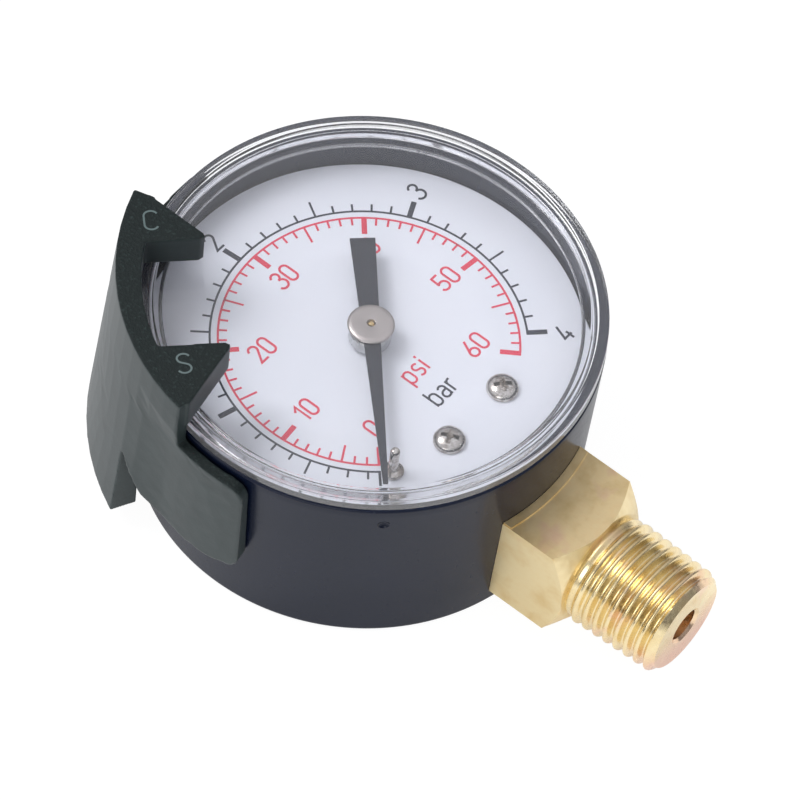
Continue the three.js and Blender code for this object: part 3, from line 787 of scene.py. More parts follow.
class Finish(Enum):
    """Every finish of the gauge, by the recipe of its material."""

    CASE = Lacquer(
        "black_case_lacquer", (0.0035, 0.0070, 0.020), (0.0050, 0.0085, 0.024), 0.24, 1.5, 0.004, 0.24,
    )
    WINDOW = ClearPlastic("clear_window_plastic")
    DIAL = Lacquer("white_dial_lacquer", (0.79, 0.815, 0.89), (0.81, 0.83, 0.90), 0.38, 2.5, 0.004)
    RED = Lacquer("red_ink", (0.70, 0.030, 0.075), (0.74, 0.040, 0.09), 0.45, 5.0, 0.002, 0.3)
    BLACK = Lacquer("dark_ink", (0.016, 0.020, 0.040), (0.012, 0.015, 0.030), 0.45, 5.0, 0.002, 0.3)
    POINTER = Lacquer(
        "pointer_lacquer", (0.009, 0.011, 0.022), (0.012, 0.015, 0.028), 0.42, 3.0, 0.006, 0.25,
    )
    NICKEL = Metal(
        "bright_nickel", (0.68, 0.65, 0.62), (0.34, 0.29, 0.25), 0.12, 0.28, marks=3.0, patches=1.1,
    )
    HUB = Metal(
        "turned_nickel", (0.56, 0.51, 0.49), (0.50, 0.455, 0.435), 0.28, 0.33, Lay.ROUND_DIAL, 9.0, 0.005,
    )
    BLOCK = StainedBrass("drawn_brass", Lay.DRAWN, smooth=0.28, rough=0.42)
    THREAD = StainedBrass("turned_brass", Lay.ROUND_STEM)
    WORKS = Metal("satin_brass", (0.80, 0.60, 0.30), (0.66, 0.46, 0.20), 0.28, 0.42, marks=4.0)
    BRONZE = Metal("drawn_bronze", (0.72, 0.46, 0.24), (0.58, 0.35, 0.17), 0.25, 0.4, marks=3.0)
    STEEL = Metal("turned_steel", (0.56, 0.57, 0.58), (0.42, 0.42, 0.42), 0.25, 0.4)
    CLIP = MouldedPlastic("dark_green_plastic")
    MARKS = Lacquer("pale_mark_ink", (0.20, 0.25, 0.25), (0.14, 0.19, 0.19), 0.6, 4.0, 0.01, 0.3)

    @cache
    def made(self) -> bpy.types.Material:
        """Material of this finish, built the first time it is asked for."""
        return self.value.material()


def dress(piece: bpy.types.Object, material: bpy.types.Material) -> None:
    """Gives a piece one material."""
    piece.data.materials.clear()
    piece.data.materials.append(material)


def settle(piece: bpy.types.Object, finish: Finish, body: str, slot: str, *nodes: str) -> None:
    """Finishes a piece and puts it in the frame.

    Args:
        piece: The piece, in place at rest.
        finish: Its finish.
        body: Body that it moves with.
        slot: The record's material slot for it; not used.
        nodes: CAD nodes that it stands for.
    """
    dress(piece, finish.made())
    if nodes:
        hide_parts(*nodes)
    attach(piece, body)
    log.info("%s: %d faces, moves with %s", piece.name, len(piece.data.polygons), body)


# ------------------------------------------------------------------------ printing
class Ink:
    """Flat printing built from ribbons of even width, as one thin closed mesh per ribbon."""

    def __init__(self, name: str, level: float, thickness: float = 0.02) -> None:
        """Starts an empty print.

        Args:
            name: Name of the piece.
            level: Height of the surface printed on.
            thickness: Thickness of the ink.
        """
        self.solid = Solid(name)
        self.low = level
        self.high = level + thickness
        self.count = 0

    def ribbon(self, points: Sequence[Point2], width: float, closed: bool = False) -> None:
        """Adds a stroke of even width with mitred corners.

        Each stroke stands a hair above the last, so crossing strokes share no face.

        Args:
            points: Centre line of the stroke.
            width: Width of the stroke.
            closed: True if its end joins its start.
        """
        line = [Vector(p) for p in points]
        count = len(line)
        left: list[Vector] = []
        right: list[Vector] = []
        for i, here in enumerate(line):
            before = line[i - 1] if i or closed else here
            after = line[(i + 1) % count] if i + 1 < count or closed else here
            into = (here - before).normalized() if before is not here else (after - here).normalized()
            out = (after - here).normalized() if after is not here else into
            mean = (into + out).normalized()
            side = Vector((-mean.y, mean.x))
            lean = max(0.5, side.dot(Vector((-into.y, into.x))))
            reach = side * (width / 2 / lean)
            left.append(here + reach)
            right.append(here - reach)
        verts = self.solid.mesh.verts
        high = self.high + STROKE_STEP * (self.count % STROKE_LEVELS)
        self.count += 1
        rows = [
            tuple(verts.new((*p, z)) for p, z in ((a, self.low), (b, self.low), (b, high), (a, high)))
            for a, b in zip(left, right)
        ]
        faces = self.solid.mesh.faces
        last = count if closed else count - 1
        for i in range(last):
            here, there = rows[i], rows[(i + 1) % count]
            for j in range(4):
                k = (j + 1) % 4
                faces.new([here[j], here[k], there[k], there[j]])
        if not closed:
            faces.new(list(reversed(rows[0])))
            faces.new(rows[-1])

    def arc(self, radius: float, start: float, end: float, width: float) -> None:
        """Adds an arc of the scale between two bearings.

        Args:
            radius: Radius of the arc.
            start: First bearing.
            end: Last bearing.
            width: Width of the line.
        """
        steps = max(4, int(abs(end - start)))
        points = [at_bearing(radius, start + (end - start) * i / steps) for i in range(steps + 1)]
        self.ribbon(points, width)

    def tick(self, degrees: float, inner: float, outer: float, width: float) -> None:
        """Adds a radial line at a bearing."""
        self.ribbon([at_bearing(inner, degrees), at_bearing(outer, degrees)], width)


def curve(x: float, y: float, radius: float, start: float, end: float) -> list[Point2]:
    """Arc of a letter, with a chord about every 12 degrees."""
    return arc_points((x, y), radius, start, end, max(4, int(abs(end - start) / 12)))


@dataclass(frozen=True)
class Lettering:
    """Plain instrument lettering drawn with strokes.

    Attributes:
        height: Height of figures and capitals.
        stroke: Width of the strokes.
        slim: Width of the letters against their height.
        gap: Space between letters against their height.
    """

    height: float
    stroke: float
    slim: float = 1.0
    gap: float = 0.2

    @staticmethod
    def glyph(character: str) -> Glyph:
        """Strokes of a character on a height of one.

        Args:
            character: One character.

        Returns:
            Its width, and its strokes as (points, closed).
        """
        bowl = curve(0.21, 0.50, 0.21, 180, 0) + curve(0.21, 0.21, 0.21, 0, -180)
        shapes: dict[str, Glyph] = {
            "0": (0.46, [(curve(0.23, 0.77, 0.23, 180, 0) + curve(0.23, 0.23, 0.23, 0, -180), True)]),
            "1": (0.30, [([(0.02, 0.74), (0.26, 0.985), (0.26, 0.0)], False)]),
            "2": (0.47, [(curve(0.23, 0.77, 0.23, 172, -32) + [(0.0, 0.015), (0.47, 0.015)], False)]),
            "3": (0.46, [
                (curve(0.215, 0.775, 0.215, 165, -90), False),
                (curve(0.205, 0.285, 0.27, 90, -160), False),
            ]),
            "4": (0.50, [
                ([(0.27, 1.0), (0.015, 0.26), (0.50, 0.26)], False),
                ([(0.375, 0.50), (0.375, 0.0)], False),
            ]),
            "5": (0.46, [
                ([(0.42, 0.985), (0.06, 0.985), (0.035, 0.53)] + curve(0.21, 0.305, 0.26, 128, -158), False),
            ]),
            "6": (0.47, [
                (curve(0.235, 0.245, 0.235, 0, 360)[:-1], True),
                ([(0.34, 1.0), (0.03, 0.36)], False),
            ]),
            "p": (0.42, [([(0.0, 0.72), (0.0, -0.27)], False), (bowl, True)]),
            "b": (0.42, [([(0.0, 1.0), (0.0, 0.0)], False), (bowl, True)]),
            "s": (0.38, [
                (curve(0.19, 0.53, 0.18, 35, 235) + [(0.26, 0.33)]
                 + curve(0.19, 0.18, 0.185, 55, -145), False),
            ]),
            "i": (0.0, [([(0.0, 0.0), (0.0, 0.71)], False), ([(0.0, 0.86), (0.0, 1.0)], False)]),
            "a": (0.38, [
                (curve(0.19, 0.52, 0.185, 150, 0) + [(0.375, 0.0)], False),
                ([(0.375, 0.41), (0.18, 0.41)] + curve(0.175, 0.205, 0.195, 100, 270)
                 + [(0.28, 0.03), (0.375, 0.12)], False),
            ]),
            "r": (0.27, [([(0.0, 0.0), (0.0, 0.71)], False), (curve(0.21, 0.48, 0.21, 180, 72), False)]),
            "C": (0.50, [(curve(0.25, 0.74, 0.25, 25, 180) + curve(0.25, 0.26, 0.25, 180, 335), False)]),
            "S": (0.50, [
                (curve(0.245, 0.755, 0.235, 30, 235) + [(0.36, 0.46)]
                 + curve(0.245, 0.25, 0.245, 50, -150), False),
            ]),
        }
        return shapes[character]

    def write(self, ink: Ink, text: str, middle: Point2, up: float = 90.0) -> None:
        """Prints a word centred on a point.

        Args:
            ink: The print to add to.
            text: The characters.
            middle: Middle of the word, half its height above the baseline.
            up: Direction of the letters' tops, in degrees from +X.
        """
        glyphs = [self.glyph(c) for c in text]
        total = sum(width * self.slim for width, _ in glyphs) + self.gap * (len(glyphs) - 1)
        turn = Matrix.Rotation(math.radians(up - 90.0), 2)
        pen = -total / 2
        for width, strokes in glyphs:
            for points, closed in strokes:
                placed = []
                for x, y in points:
                    local = Vector((pen + x * self.slim, y - 0.5)) * self.height
                    spot = Vector(middle) + turn @ local
                    placed.append((spot.x, spot.y))
                ink.ribbon(placed, self.stroke, closed)
            pen += width * self.slim + self.gap


@dataclass(frozen=True)
class Scale:
    """One printed scale of the dial.

    Attributes:
        radius: Radius of its arc.
        start: Bearing where the arc starts.
        end: Bearing where it ends.
        outward: True if its ticks point away from the centre.
        short: Length of the finest ticks.
        medium: Length of the middle ticks.
        long: Length of the numbered ticks.
        line: Width of the arc and of the fine ticks.
        bold: Width of the numbered ticks.
        bearing: Bearing of a value on this scale.
    """

    radius: float
    start: float
    end: float
    outward: bool
    short: float
    medium: float
    long: float
    line: float
    bold: float
    bearing: Callable[[float], float]

    def draw(self, ink: Ink, values: Sequence[float], medium_every: int, long_every: int) -> None:
        """Prints the arc and its ticks.

        Args:
            ink: The print to add to.
            values: Value of each tick, counted in the finest steps.
            medium_every: Steps between middle ticks.
            long_every: Steps between numbered ticks.
        """
        ink.arc(self.radius, self.start, self.end, self.line)
        sign = 1 if self.outward else -1
        for step in values:
            length, width = self.short, self.line
            if step % long_every == 0:
                length, width = self.long, self.bold
            elif step % medium_every == 0:
                length = self.medium
            root = self.radius - sign * self.line / 2
            ends = sorted((root, root + sign * length))
            ink.tick(self.bearing(step), *ends, width)


# ---------------------------------------------------------------------- assemblies
@dataclass
class Case:
    """Black pressed case with its rim, dimples and back screws.

    Attributes:
        base: Radius at the back.
        rim: Radius at the rim.
        height: Height of the rim.
        wall: Wall thickness.
        floor: Thickness of the back.
        edge: Radius of the rolled edge at the back.
        neck: Radius of the hole for the stem.
        stem_height: Height of the stem axis.
        screws: Place of the back screws, either side of the middle.
        dimple: Radius of a dimple.
        dimple_depth: Depth of a dimple.
        dimple_height: Height of the dimples.
        dimple_bearing: Bearing of the first one.
        dimple_band: Half the height of the band of wall that carries them.
        rings: Heights of the wall's extra rings.
        sink: Profile of a countersunk screw hole.
    """

    base: float = 25.6
    rim: float = 26.5
    height: float = 25.4
    wall: float = 1.25
    floor: float = 1.6
    edge: float = 0.9
    neck: float = 5.3
    stem_height: float = 9.5
    screws: Point2 = (3.8, -20.5)
    dimple: float = 0.9
    dimple_depth: float = 0.35
    dimple_height: float = 22.8
    dimple_bearing: float = 227.6
    dimple_band: float = 1.2
    rings: tuple[float, ...] = (6.0, 12.0, 17.0)
    sink: tuple[Point2, ...] = ((0, -1), (2.6, -1), (2.6, 0.35), (1.2, 1.4), (1.2, 3), (0, 3))

    def radius(self, z: float) -> float:
        """Outer radius at a height."""
        return self.base + (self.rim - self.base) * z / self.height

    def build(self) -> None:
        """Makes the cup."""
        inner = self.rim - self.wall
        profile: list[Point2] = [(0.0, 0.0), (self.base - self.edge, 0.0)]
        profile += arc_points((self.radius(self.edge) - self.edge, self.edge), self.edge, -80, 0, 8)
        above, below = self.dimple_height + self.dimple_band, self.dimple_height - self.dimple_band
        profile += [(self.radius(z), z) for z in (*self.rings, below, above)]
        top = [
            (self.rim, self.height), (inner, self.height),
            (self.radius(self.floor) - self.wall, self.floor + 0.6),
            (self.radius(self.floor) - self.wall - 0.6, self.floor), (0.0, self.floor),
        ]
        profile += rounded([profile[-1], *top], 0.3)[1:]
        cup = Solid("case_shell").turned(profile, 256).object()
        cuts = [Solid("neck").rod(self.neck, 20, 30, 64).along_stem(self.stem_height)]
        for side in (-1, 1):
            cuts.append(Solid("sink").turned(self.sink, 40).shift(side * self.screws[0], self.screws[1], 0))
        reach = self.radius(self.dimple_height) + self.dimple - self.dimple_depth
        for i in range(3):
            x, y = at_bearing(reach, self.dimple_bearing + 120 * i)
            ball = arc_points((0, 0), self.dimple, -90, 90, 16)
            ball[0], ball[-1] = (0.0, -self.dimple), (0.0, self.dimple)
            cuts.append(Solid("dimple").turned(ball, 32).shift(x, y, self.dimple_height))
        combine(cup, Join.CUT, cuts)
        settle(cup, Finish.CASE, "case", "black_case", "case_cup")


@dataclass
class Window:
    """Clear window pressed over the rim, with a raised border and a plug inside the case.

    Attributes:
        radius: Outer radius.
        top: Height of the raised border.
        face: Height of the window.
        under: Height of its underside.
        seat: Height of the flange's underside.
        plug_outer: Outer radius of the plug.
        plug_inner: Inner radius of the plug.
        plug_foot: Height of the plug's foot.
    """

    radius: float = 26.45
    top: float = 27.5
    face: float = 27.2
    under: float = 25.3
    seat: float = 25.7
    plug_outer: float = 24.75
    plug_inner: float = 23.7
    plug_foot: float = 24.2

    def build(self) -> None:
        """Makes the window."""
        chain = [
            (0.0, self.face), (24.5, self.face), (24.7, self.face - 0.25), (25.1, self.face - 0.25),
            (25.3, self.top), (self.radius, self.top), (self.radius, self.seat),
            (self.plug_outer, self.seat), (self.plug_outer, self.plug_foot),
            (self.plug_inner, self.plug_foot), (self.plug_inner - 0.15, self.under), (0.0, self.under),
        ]
        window = Solid("window").turned(rounded(chain, 0.18), 256).object(30.0)
        settle(window, Finish.WINDOW, "case", "clear_lens", "lens")


@dataclass
class Dial:
    """Dial plate with its printing, screws and stop pin.

    Attributes:
        radius: Radius of the plate.
        top: Height of its face.
        thickness: Plate thickness.
        zero: Bearing of the zero marks.
        screw: Place of a dial screw, either side of the middle.
        head: Radius of a screw head.
        rise: Height of a screw head.
        stop: Radius and bearing of the stop pin.
        upright: Pressure in psi at the top of the dial.
        per_psi: Degrees of the scale to one psi.
        bore: Radius of the hole in the middle.
        screw_hole: Radius of the screw holes.
        pin_hole: Radius of the stop pin's hole.
    """

    radius: float = 24.7
    top: float = 19.9
    thickness: float = 0.5
    zero: float = -132.9
    screw: Point2 = (4.75, -15.4)
    head: float = 1.85
    rise: float = 1.1
    stop: Point2 = (18.0, -137.6)
    upright: float = 29.83
    per_psi: float = 4.785
    bore: float = 1.7
    screw_hole: float = 1.1
    pin_hole: float = 0.8

    def psi(self, value: float) -> float:
        """Bearing of a pressure in psi."""
        return (value - self.upright) * self.per_psi

    def tenth_bar(self, value: float) -> float:
        """Bearing of a pressure in tenths of a bar."""
        return self.psi(value * PSI_PER_TENTH_BAR)

    def plate(self) -> None:
        """Makes the white plate with its holes."""
        low = self.top - self.thickness
        chain = [(self.bore, low), (self.radius, low), (self.radius, self.top), (self.bore, self.top)]
        loop = rounded([chain[-1], *chain, chain[0]], 0.08)[1:-1]
        plate = Solid("dial_face").turned(loop, 192, closed=True).object()
        x, y = self.screw
        holes = [(x, y, self.screw_hole), (-x, y, self.screw_hole), (*at_bearing(*self.stop), self.pin_hole)]
        cuts = [
            Solid("hole").rod(r, 15, 25, 40).shift(x, y, 0)
            for x, y, r in holes
        ]
        combine(plate, Join.CUT, cuts)
        settle(plate, Finish.DIAL, "case", "printed_dial", "dial_plate")

    def printing(self) -> None:
        """Prints both scales, their figures and their units."""
        red = Ink("dial_print_red", self.top)
        black = Ink("dial_print_black", self.top)
        inner = Scale(17.04, self.zero, self.psi(60), False, 1.15, 2.4, 2.4, 0.25, 0.62, self.psi)
        outer = Scale(17.96, self.zero, self.tenth_bar(40), True, 1.15, 2.3, 2.4, 0.25, 0.62, self.tenth_bar)
        inner.draw(red, range(3, 61), 5, 10)
        outer.draw(black, range(2, 41), 5, 10)
        red.tick(self.zero, 14.65, 17.16, 0.3)
        black.tick(self.zero, 17.84, 20.3, 0.3)
        figures = Lettering(2.4, 0.28)
        for text, spot in {
            "0": (-9.1, -8.0), "10": (-12.2, -0.8), "20": (-9.15, 8.1), "30": (0.3, 12.7),
            "40": (9.4, 8.25), "50": (12.4, -1.1), "60": (7.45, -9.3),
        }.items():
            figures.write(red, text, spot)
        for text, spot in {
            "1": (-21.1, 6.3), "2": (-1.4, 21.8), "3": (19.8, 9.1), "4": (15.5, -15.8),
        }.items():
            figures.write(black, text, spot)
        units = Lettering(2.4, 0.26, gap=0.23)
        units.write(red, "psi", (0.05, -6.35))
        units.write(black, "bar", (0.0, -10.4))
        for ink, finish in ((red, Finish.RED), (black, Finish.BLACK)):
            settle(ink.solid.object(), finish, "case", "printed_dial")

    def cross_screw(self, side: int, turn: float) -> None:
        """Makes one domed cross-head screw.

        Args:
            side: -1 for the left screw, 1 for the right.
            turn: Angle of the cross in degrees.
        """
        name = "dial_screw_left" if side < 0 else "dial_screw_right"
        seat = self.top + 0.1
        x, y = side * self.screw[0], self.screw[1]
        chain: list[Point2] = [(0.0, 15.8), (0.8, 15.8), (0.8, seat)]
        chain += [(self.head, seat), (self.head, seat + 0.15)]
        for i in range(1, 15):
            share = math.radians(90 * i / 14)
            chain.append((self.head * math.cos(share), seat + 0.15 + (self.rise - 0.15) * math.sin(share)))
        chain[-1] = (0.0, seat + self.rise)
        screw = Solid(name + "_head").turned(chain, 72).object(40.0)
        cuts = []
        for angle in (0, 90):
            wing = Solid("wing").block((-1.25, -0.28, seat - 0.2), (1.25, 0.28, seat + 1.3))
            for vert in wing.mesh.verts:
                if vert.co.z < seat + 1:
                    vert.co.x *= 0.35
                    vert.co.y *= 0.7
            cuts.append(wing.spin(turn + angle))
        pit = [(0, seat - 0.3), (0.36, seat - 0.1), (0.6, seat + 3), (0, seat + 3)]
        cuts.append(Solid("pit").turned(pit, 24))
        combine(screw, Join.CUT, cuts, 40.0)
        edge = screw.modifiers.new("edge", "BEVEL")
        edge.width = 0.05 * MM
        edge.segments = 2
        edge.limit_method = "ANGLE"
        edge.angle_limit = math.radians(45)
        edge.harden_normals = True
        screw.data.transform(Matrix.Translation((x * MM, y * MM, 0)))
        bake_modifiers(screw)
        settle(screw, Finish.NICKEL, "case", "nickel_screw", name)

    def pin(self) -> None:
        """Makes the stop pin on its round foot."""
        seat = self.top + 0.1
        x, y = at_bearing(*self.stop)
        foot = [(0.0, 18.8), (0.5, 18.8), (0.5, seat), (1.3, seat), (1.22, seat + 0.3), (0.85, seat + 0.52)]
        post = [(0.55, seat + 0.7), (0.55, 23.9), (0.42, 24.2), (0.0, 24.3)]
        pin = Solid("stop_post").turned(rounded(foot + post, 0.12), 64).shift(x, y, 0).object(40.0)
        settle(pin, Finish.NICKEL, "case", "nickel_screw", "stop_pin")

    def build(self) -> None:
        """Makes the plate, the printing, both screws and the stop pin."""
        self.plate()
        self.printing()
        self.cross_screw(-1, 25.0)
        self.cross_screw(1, 48.0)
        self.pin()


@dataclass
class Pointer:
    """Tapered pointer on its bush, under a flat turned hub.

    Attributes:
        bearing: Bearing at which it rests.
        tip: Length to the tip.
        tail: Length of the tail.
        tip_width: Width at the tip.
        tail_width: Width at the end of the tail.
        low: Height of its underside.
        high: Height of its face.
        hub: Radius of the hub.
        hub_face: Radius of its flat face.
        hub_low: Height of the hub's underside.
        hub_top: Height of the hub's face.
        bush: Radius of the bush.
        bush_low: Height of the bush's foot.
        bush_top: Height of its top.
    """

    bearing: float = -133.7
    tip: float = 21.2
    tail: float = 12.2
    tip_width: float = 0.56
    tail_width: float = 2.9
    low: float = 22.3
    high: float = 22.6
    hub: float = 2.7
    hub_face: float = 2.15
    hub_low: float = 22.75
    hub_top: float = 23.2
    bush: float = 2.4
    bush_low: float = 20.3
    bush_top: float = 22.0

    def blade(self) -> None:
        """Makes the flat blade with its boss."""
        tip, tail = self.tip_width / 2, self.tail_width / 2
        outline = [(-self.tail, -tail), (self.tip, -tip), (self.tip, tip), (-self.tail, tail)]
        blade = Solid("pointer_blade").prism(outline, self.low, self.high).soften(0.05, 2).object()
        boss = Solid("boss").rod(1.9, self.low, self.high, 64)
        combine(blade, Join.WELD, [boss])
        bore = Solid("bore").rod(0.85, 20, 24, 32)
        combine(blade, Join.CUT, [bore])
        blade.data.transform(Matrix.Rotation(math.radians(90 - self.bearing), 4, "Z"))
        settle(blade, Finish.POINTER, "pointer_group", "pointer_black", "pointer")

    def cap(self) -> None:
        """Makes the hub and the bush below it."""
        r, face, low, top = self.hub, self.hub_face, self.hub_low, self.hub_top
        loop = [(0.48, low), (r - 0.15, low), (r, low + 0.12), (r - 0.05, low + 0.26)]
        loop += [((r + face) / 2 + 0.05, top - 0.07), (face, top), (0.48, top)]
        soft = rounded([loop[-1], *loop, loop[0]], 0.08)[1:-1]
        hub = Solid("hub_cap").turned(soft, 96, closed=True).object(50.0)
        settle(hub, Finish.HUB, "pointer_group", "nickel_hub", "pointer_hub")
        r, low, top = self.bush, self.bush_low, self.bush_top
        loop = [(0.85, low), (r - 0.15, low), (r, low + 0.15), (r, top - 0.15), (r - 0.15, top), (0.85, top)]
        bush = Solid("hub_bush").turned(loop, 64, closed=True).object()
        settle(bush, Finish.STEEL, "pointer_group", "nickel_screw", "pointer_bush")

    def build(self) -> None:
        """Makes the blade, the hub and the bush."""
        self.blade()
        self.cap()


@dataclass
class Stem:
    """Brass stem: spanner block, taper thread and the head inside the case.

    Attributes:
        height: Height of the stem axis.
        flats: Width across the flats.
        end: Distance of the block's end from the dial axis.
        corner_cut: Slope of the turned corners in degrees.
        length: Distance of the stem's end from the dial axis.
        major: Thread radius at the block.
        depth: Thread depth.
        pitch: Thread pitch.
        taper: Fall in radius along the thread.
        bore: Radius of the bore.
        narrow: Radius of the bore behind the restrictor.
        end_chamfer: Chamfer on the end of the thread.
        post: Place of a dial post, either side of the middle.
    """

    height: float = 9.5
    flats: float = 14.0
    end: float = 34.4
    corner_cut: float = 24.0
    length: float = 46.6
    major: float = 6.9
    depth: float = 0.8
    pitch: float = 1.41
    taper: float = 1 / 32
    bore: float = 2.05
    narrow: float = 1.2
    end_chamfer: float = 0.9
    post: Point2 = (4.75, -15.4)

    def envelope(self, name: str, case: Case, gap: float) -> Solid:
        """Room kept clear round the outside of the case."""
        chain = [(0, 0), (case.radius(0) + gap, 0), (case.radius(22) + gap, 22), (0, 22)]
        return Solid(name).turned(chain, 256)

    def passage(self) -> Solid:
        """The pressure passage, with its chamfered mouth."""
        chain = [
            (0, self.length + 1), (self.bore + 0.35, self.length + 1), (self.bore + 0.35, self.length),
            (self.bore, self.length - 0.35), (self.bore, 41.5), (self.narrow, 40.7),
            (self.narrow, 16), (0, 16),
        ]
        return Solid("passage").turned(chain, 64).along_stem(self.height)

    def block(self, case: Case) -> None:
        """Makes the spanner block with its turned corners and saddle lip.

        Args:
            case: The case that it meets.
        """
        half = self.flats / 2
        low, high = self.height - half, self.height + half
        body = Solid("stem_block").block((-half, -self.end, low), (half, -22, high))
        block = body.soften(0.18, 3).object(28.0)
        corner = half * math.sqrt(2)
        drop = (corner - half) * math.tan(math.radians(self.corner_cut)) * 1.6
        face = [(0, 15), (corner + 2, 15), (corner + 2, self.end - drop), (corner, self.end - drop)]
        face += [(half, self.end), (0, self.end)]
        corners = Solid("corners").turned(rounded(face, 0.25), 96).along_stem(self.height)
        combine(block, Join.COMMON, [corners], 28.0)
        lip_box = (-half + 0.1, -30, low - 0.2), (half - 0.1, -22, high + 0.2)
        lip = Solid("lip").block(*lip_box).soften(0.15, 2).object()
        combine(lip, Join.COMMON, [self.envelope("reach", case, 1.05)])
        combine(block, Join.WELD, [lip], 28.0)
        combine(block, Join.CUT, [self.envelope("room", case, 0.04)], 28.0)
        neck = Solid("neck").rod(5, 22, 30, 64).along_stem(self.height)
        combine(block, Join.WELD, [neck], 28.0)
        combine(block, Join.CUT, [self.passage()], 28.0)
        settle(block, Finish.BLOCK, "case", "brass_stem", "socket_stem")

    def crest(self, phase: float) -> float:
        """Height of the thread profile, 0 at the root and 1 at the crest.

        Args:
            phase: Turns of the thread.

        Returns:
            The height.
        """
        saw = abs(2 * (phase - math.floor(phase)) - 1)
        share = min(1.0, max(0.0, (saw - 0.04) / 0.88))
        return share * share * (3 - 2 * share)

    def thread(self) -> None:
        """Makes the taper thread as a helical height field, and bores it."""
        around, per_pitch = 144, 18
        start = self.end - 0.8
        rows = round((self.length - start) / self.pitch * per_pitch)
        made = Solid("stem_thread")
        rings = []
        for row in range(rows + 1):
            d = start + (self.length - start) * row / rows
            major = self.major - (d - self.end) * self.taper
            run_out = min(1.0, max(0.0, (d - self.end) / self.pitch))
            full = 0.4 + 0.6 * min(1.0, max(0.0, (d - self.end) / self.pitch / 3))
            chamfer = max(0.0, d - (self.length - self.end_chamfer))
            ring = []
            for i in range(around):
                cut = self.depth * (1 - self.crest(d / self.pitch + i / around))
                r = min(major - cut * full * run_out - 0.5 * (1 - run_out), major - chamfer)
                x, z = polar(r, 360 * i / around)
                ring.append(made.mesh.verts.new((x, -d, self.height + z)))
            rings.append(ring)
        for near, far in zip(rings, rings[1:]):
            for i in range(around):
                j = (i + 1) % around
                made.mesh.faces.new([near[i], near[j], far[j], far[i]])
        made.mesh.faces.new(rings[0])
        made.mesh.faces.new(list(reversed(rings[-1])))
        thread = made.object(40.0)
        combine(thread, Join.CUT, [self.passage()], 40.0)
        settle(thread, Finish.THREAD, "case", "brass_stem")

    def head(self) -> None:
        """Makes the head inside the case, with the posts that carry the dial."""
        body = Solid("stem_head").block((-6.5, -23.3, 4.4), (6.5, -13.3, 13.6)).soften(0.3, 2).object()
        x, y = self.post
        posts = [Solid("post").rod(1.7, 13.1, 19.1, 40).shift(side * x, y, 0) for side in (-1, 1)]
        tongue = Solid("tongue").block((-5.8, -13.8, 4.4), (5.8, -8.2, 7.9))
        combine(body, Join.WELD, [*posts, tongue])
        holes = [Solid("tapped").rod(1.0, 15.4, 20, 32).shift(side * x, y, 0) for side in (-1, 1)]
        combine(body, Join.CUT, [*holes, self.passage()])
        settle(body, Finish.BLOCK, "case", "brass_stem")

    def restrictor(self) -> None:
        """Makes the slotted restrictor screw in the bore."""
        outer = self.length - 1.9
        loop = [(0.35, outer), (self.bore - 0.3, outer), (self.bore - 0.3, outer - 2.6), (0.35, outer - 2.6)]
        plug = Solid("restrictor").turned(loop, 48, closed=True).along_stem(self.height).object()
        slot = Solid("slot").block((-3, -outer - 1, self.height - 0.3), (3, -outer + 0.7, self.height + 0.3))
        combine(plug, Join.CUT, [slot])
        settle(plug, Finish.BRONZE, "case", "bronze", "restrictor_screw")

    def build(self, case: Case) -> None:
        """Makes every piece of the stem.

        Args:
            case: The case that it meets.
        """
        self.block(case)
        self.thread()
        self.head()
        self.restrictor()


@dataclass
class Clip:
    """Moulded clip that springs round the case and carries two pointed arms over the window.

    Attributes:
        top: Height of its top face.
        voxel: Fineness of the moulded surface.
    """

    top: float = 32.0
    voxel: float = 0.16

    def body(self) -> None:
        """Makes the clip with softly moulded edges from its mechanical shape."""
        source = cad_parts["indicator_clip"]
        piece = add_object("clip_body", source.data.copy())
        skin = piece.modifiers.new("skin", "REMESH")
        skin.mode = "VOXEL"
        skin.voxel_size = self.voxel * MM
        skin.use_smooth_shade = True
        relax = piece.modifiers.new("relax", "SMOOTH")
        relax.factor = 0.5
        relax.iterations = 5
        bake_modifiers(piece)
        shade(piece, 60.0)
        settle(piece, Finish.CLIP, "clip", "green_clip", "indicator_clip")

    def letters(self) -> None:
        """Prints the two index letters on the arms."""
        ink = Ink("clip_letters", self.top - 0.01, 0.03)
        letters = Lettering(2.6, 0.22, 1.2)
        for text, spot in {"C": (-10.4, 23.9), "S": (-22.8, 8.6)}.items():
            letters.write(ink, text, spot, 46.0)
        settle(ink.solid.object(), Finish.MARKS, "clip", "green_clip")

    def build(self) -> None:
        """Makes the clip and its letters."""
        self.body()
        self.letters()


@dataclass
class Works:
    """The movement behind the dial, which keeps its mechanical shapes.

    Attributes:
        brass: Brass nodes.
        bronze: Bronze nodes.
        steel: Steel nodes, with the back screws.
    """

    brass: tuple[str, ...] = (
        "tube_end_piece", "movement_base_plate", "movement_top_plate", "movement_pillar_left",
        "movement_pillar_right", "sector_gear", "connecting_link", "hairspring_collet", "hairspring_stud",
        "pinion_arbor",
    )
    bronze: tuple[str, ...] = ("bourdon_tube", "hairspring")
    steel: tuple[str, ...] = (
        "sector_arbor", "link_pin_tail", "link_pin_tip", "base_plate_screw_left",
        "base_plate_screw_right", "top_plate_screw_left", "top_plate_screw_right",
        "case_screw_left", "case_screw_right",
    )

    def build(self) -> None:
        """Dresses every node of the movement and the back screws."""
        groups = (
            (self.brass, Finish.WORKS), (self.bronze, Finish.BRONZE), (self.steel, Finish.STEEL),
        )
        for names, finish in groups:
            for name in names:
                dress(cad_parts[name], finish.made())
                log.info("%s: %s", name, finish.value.name)


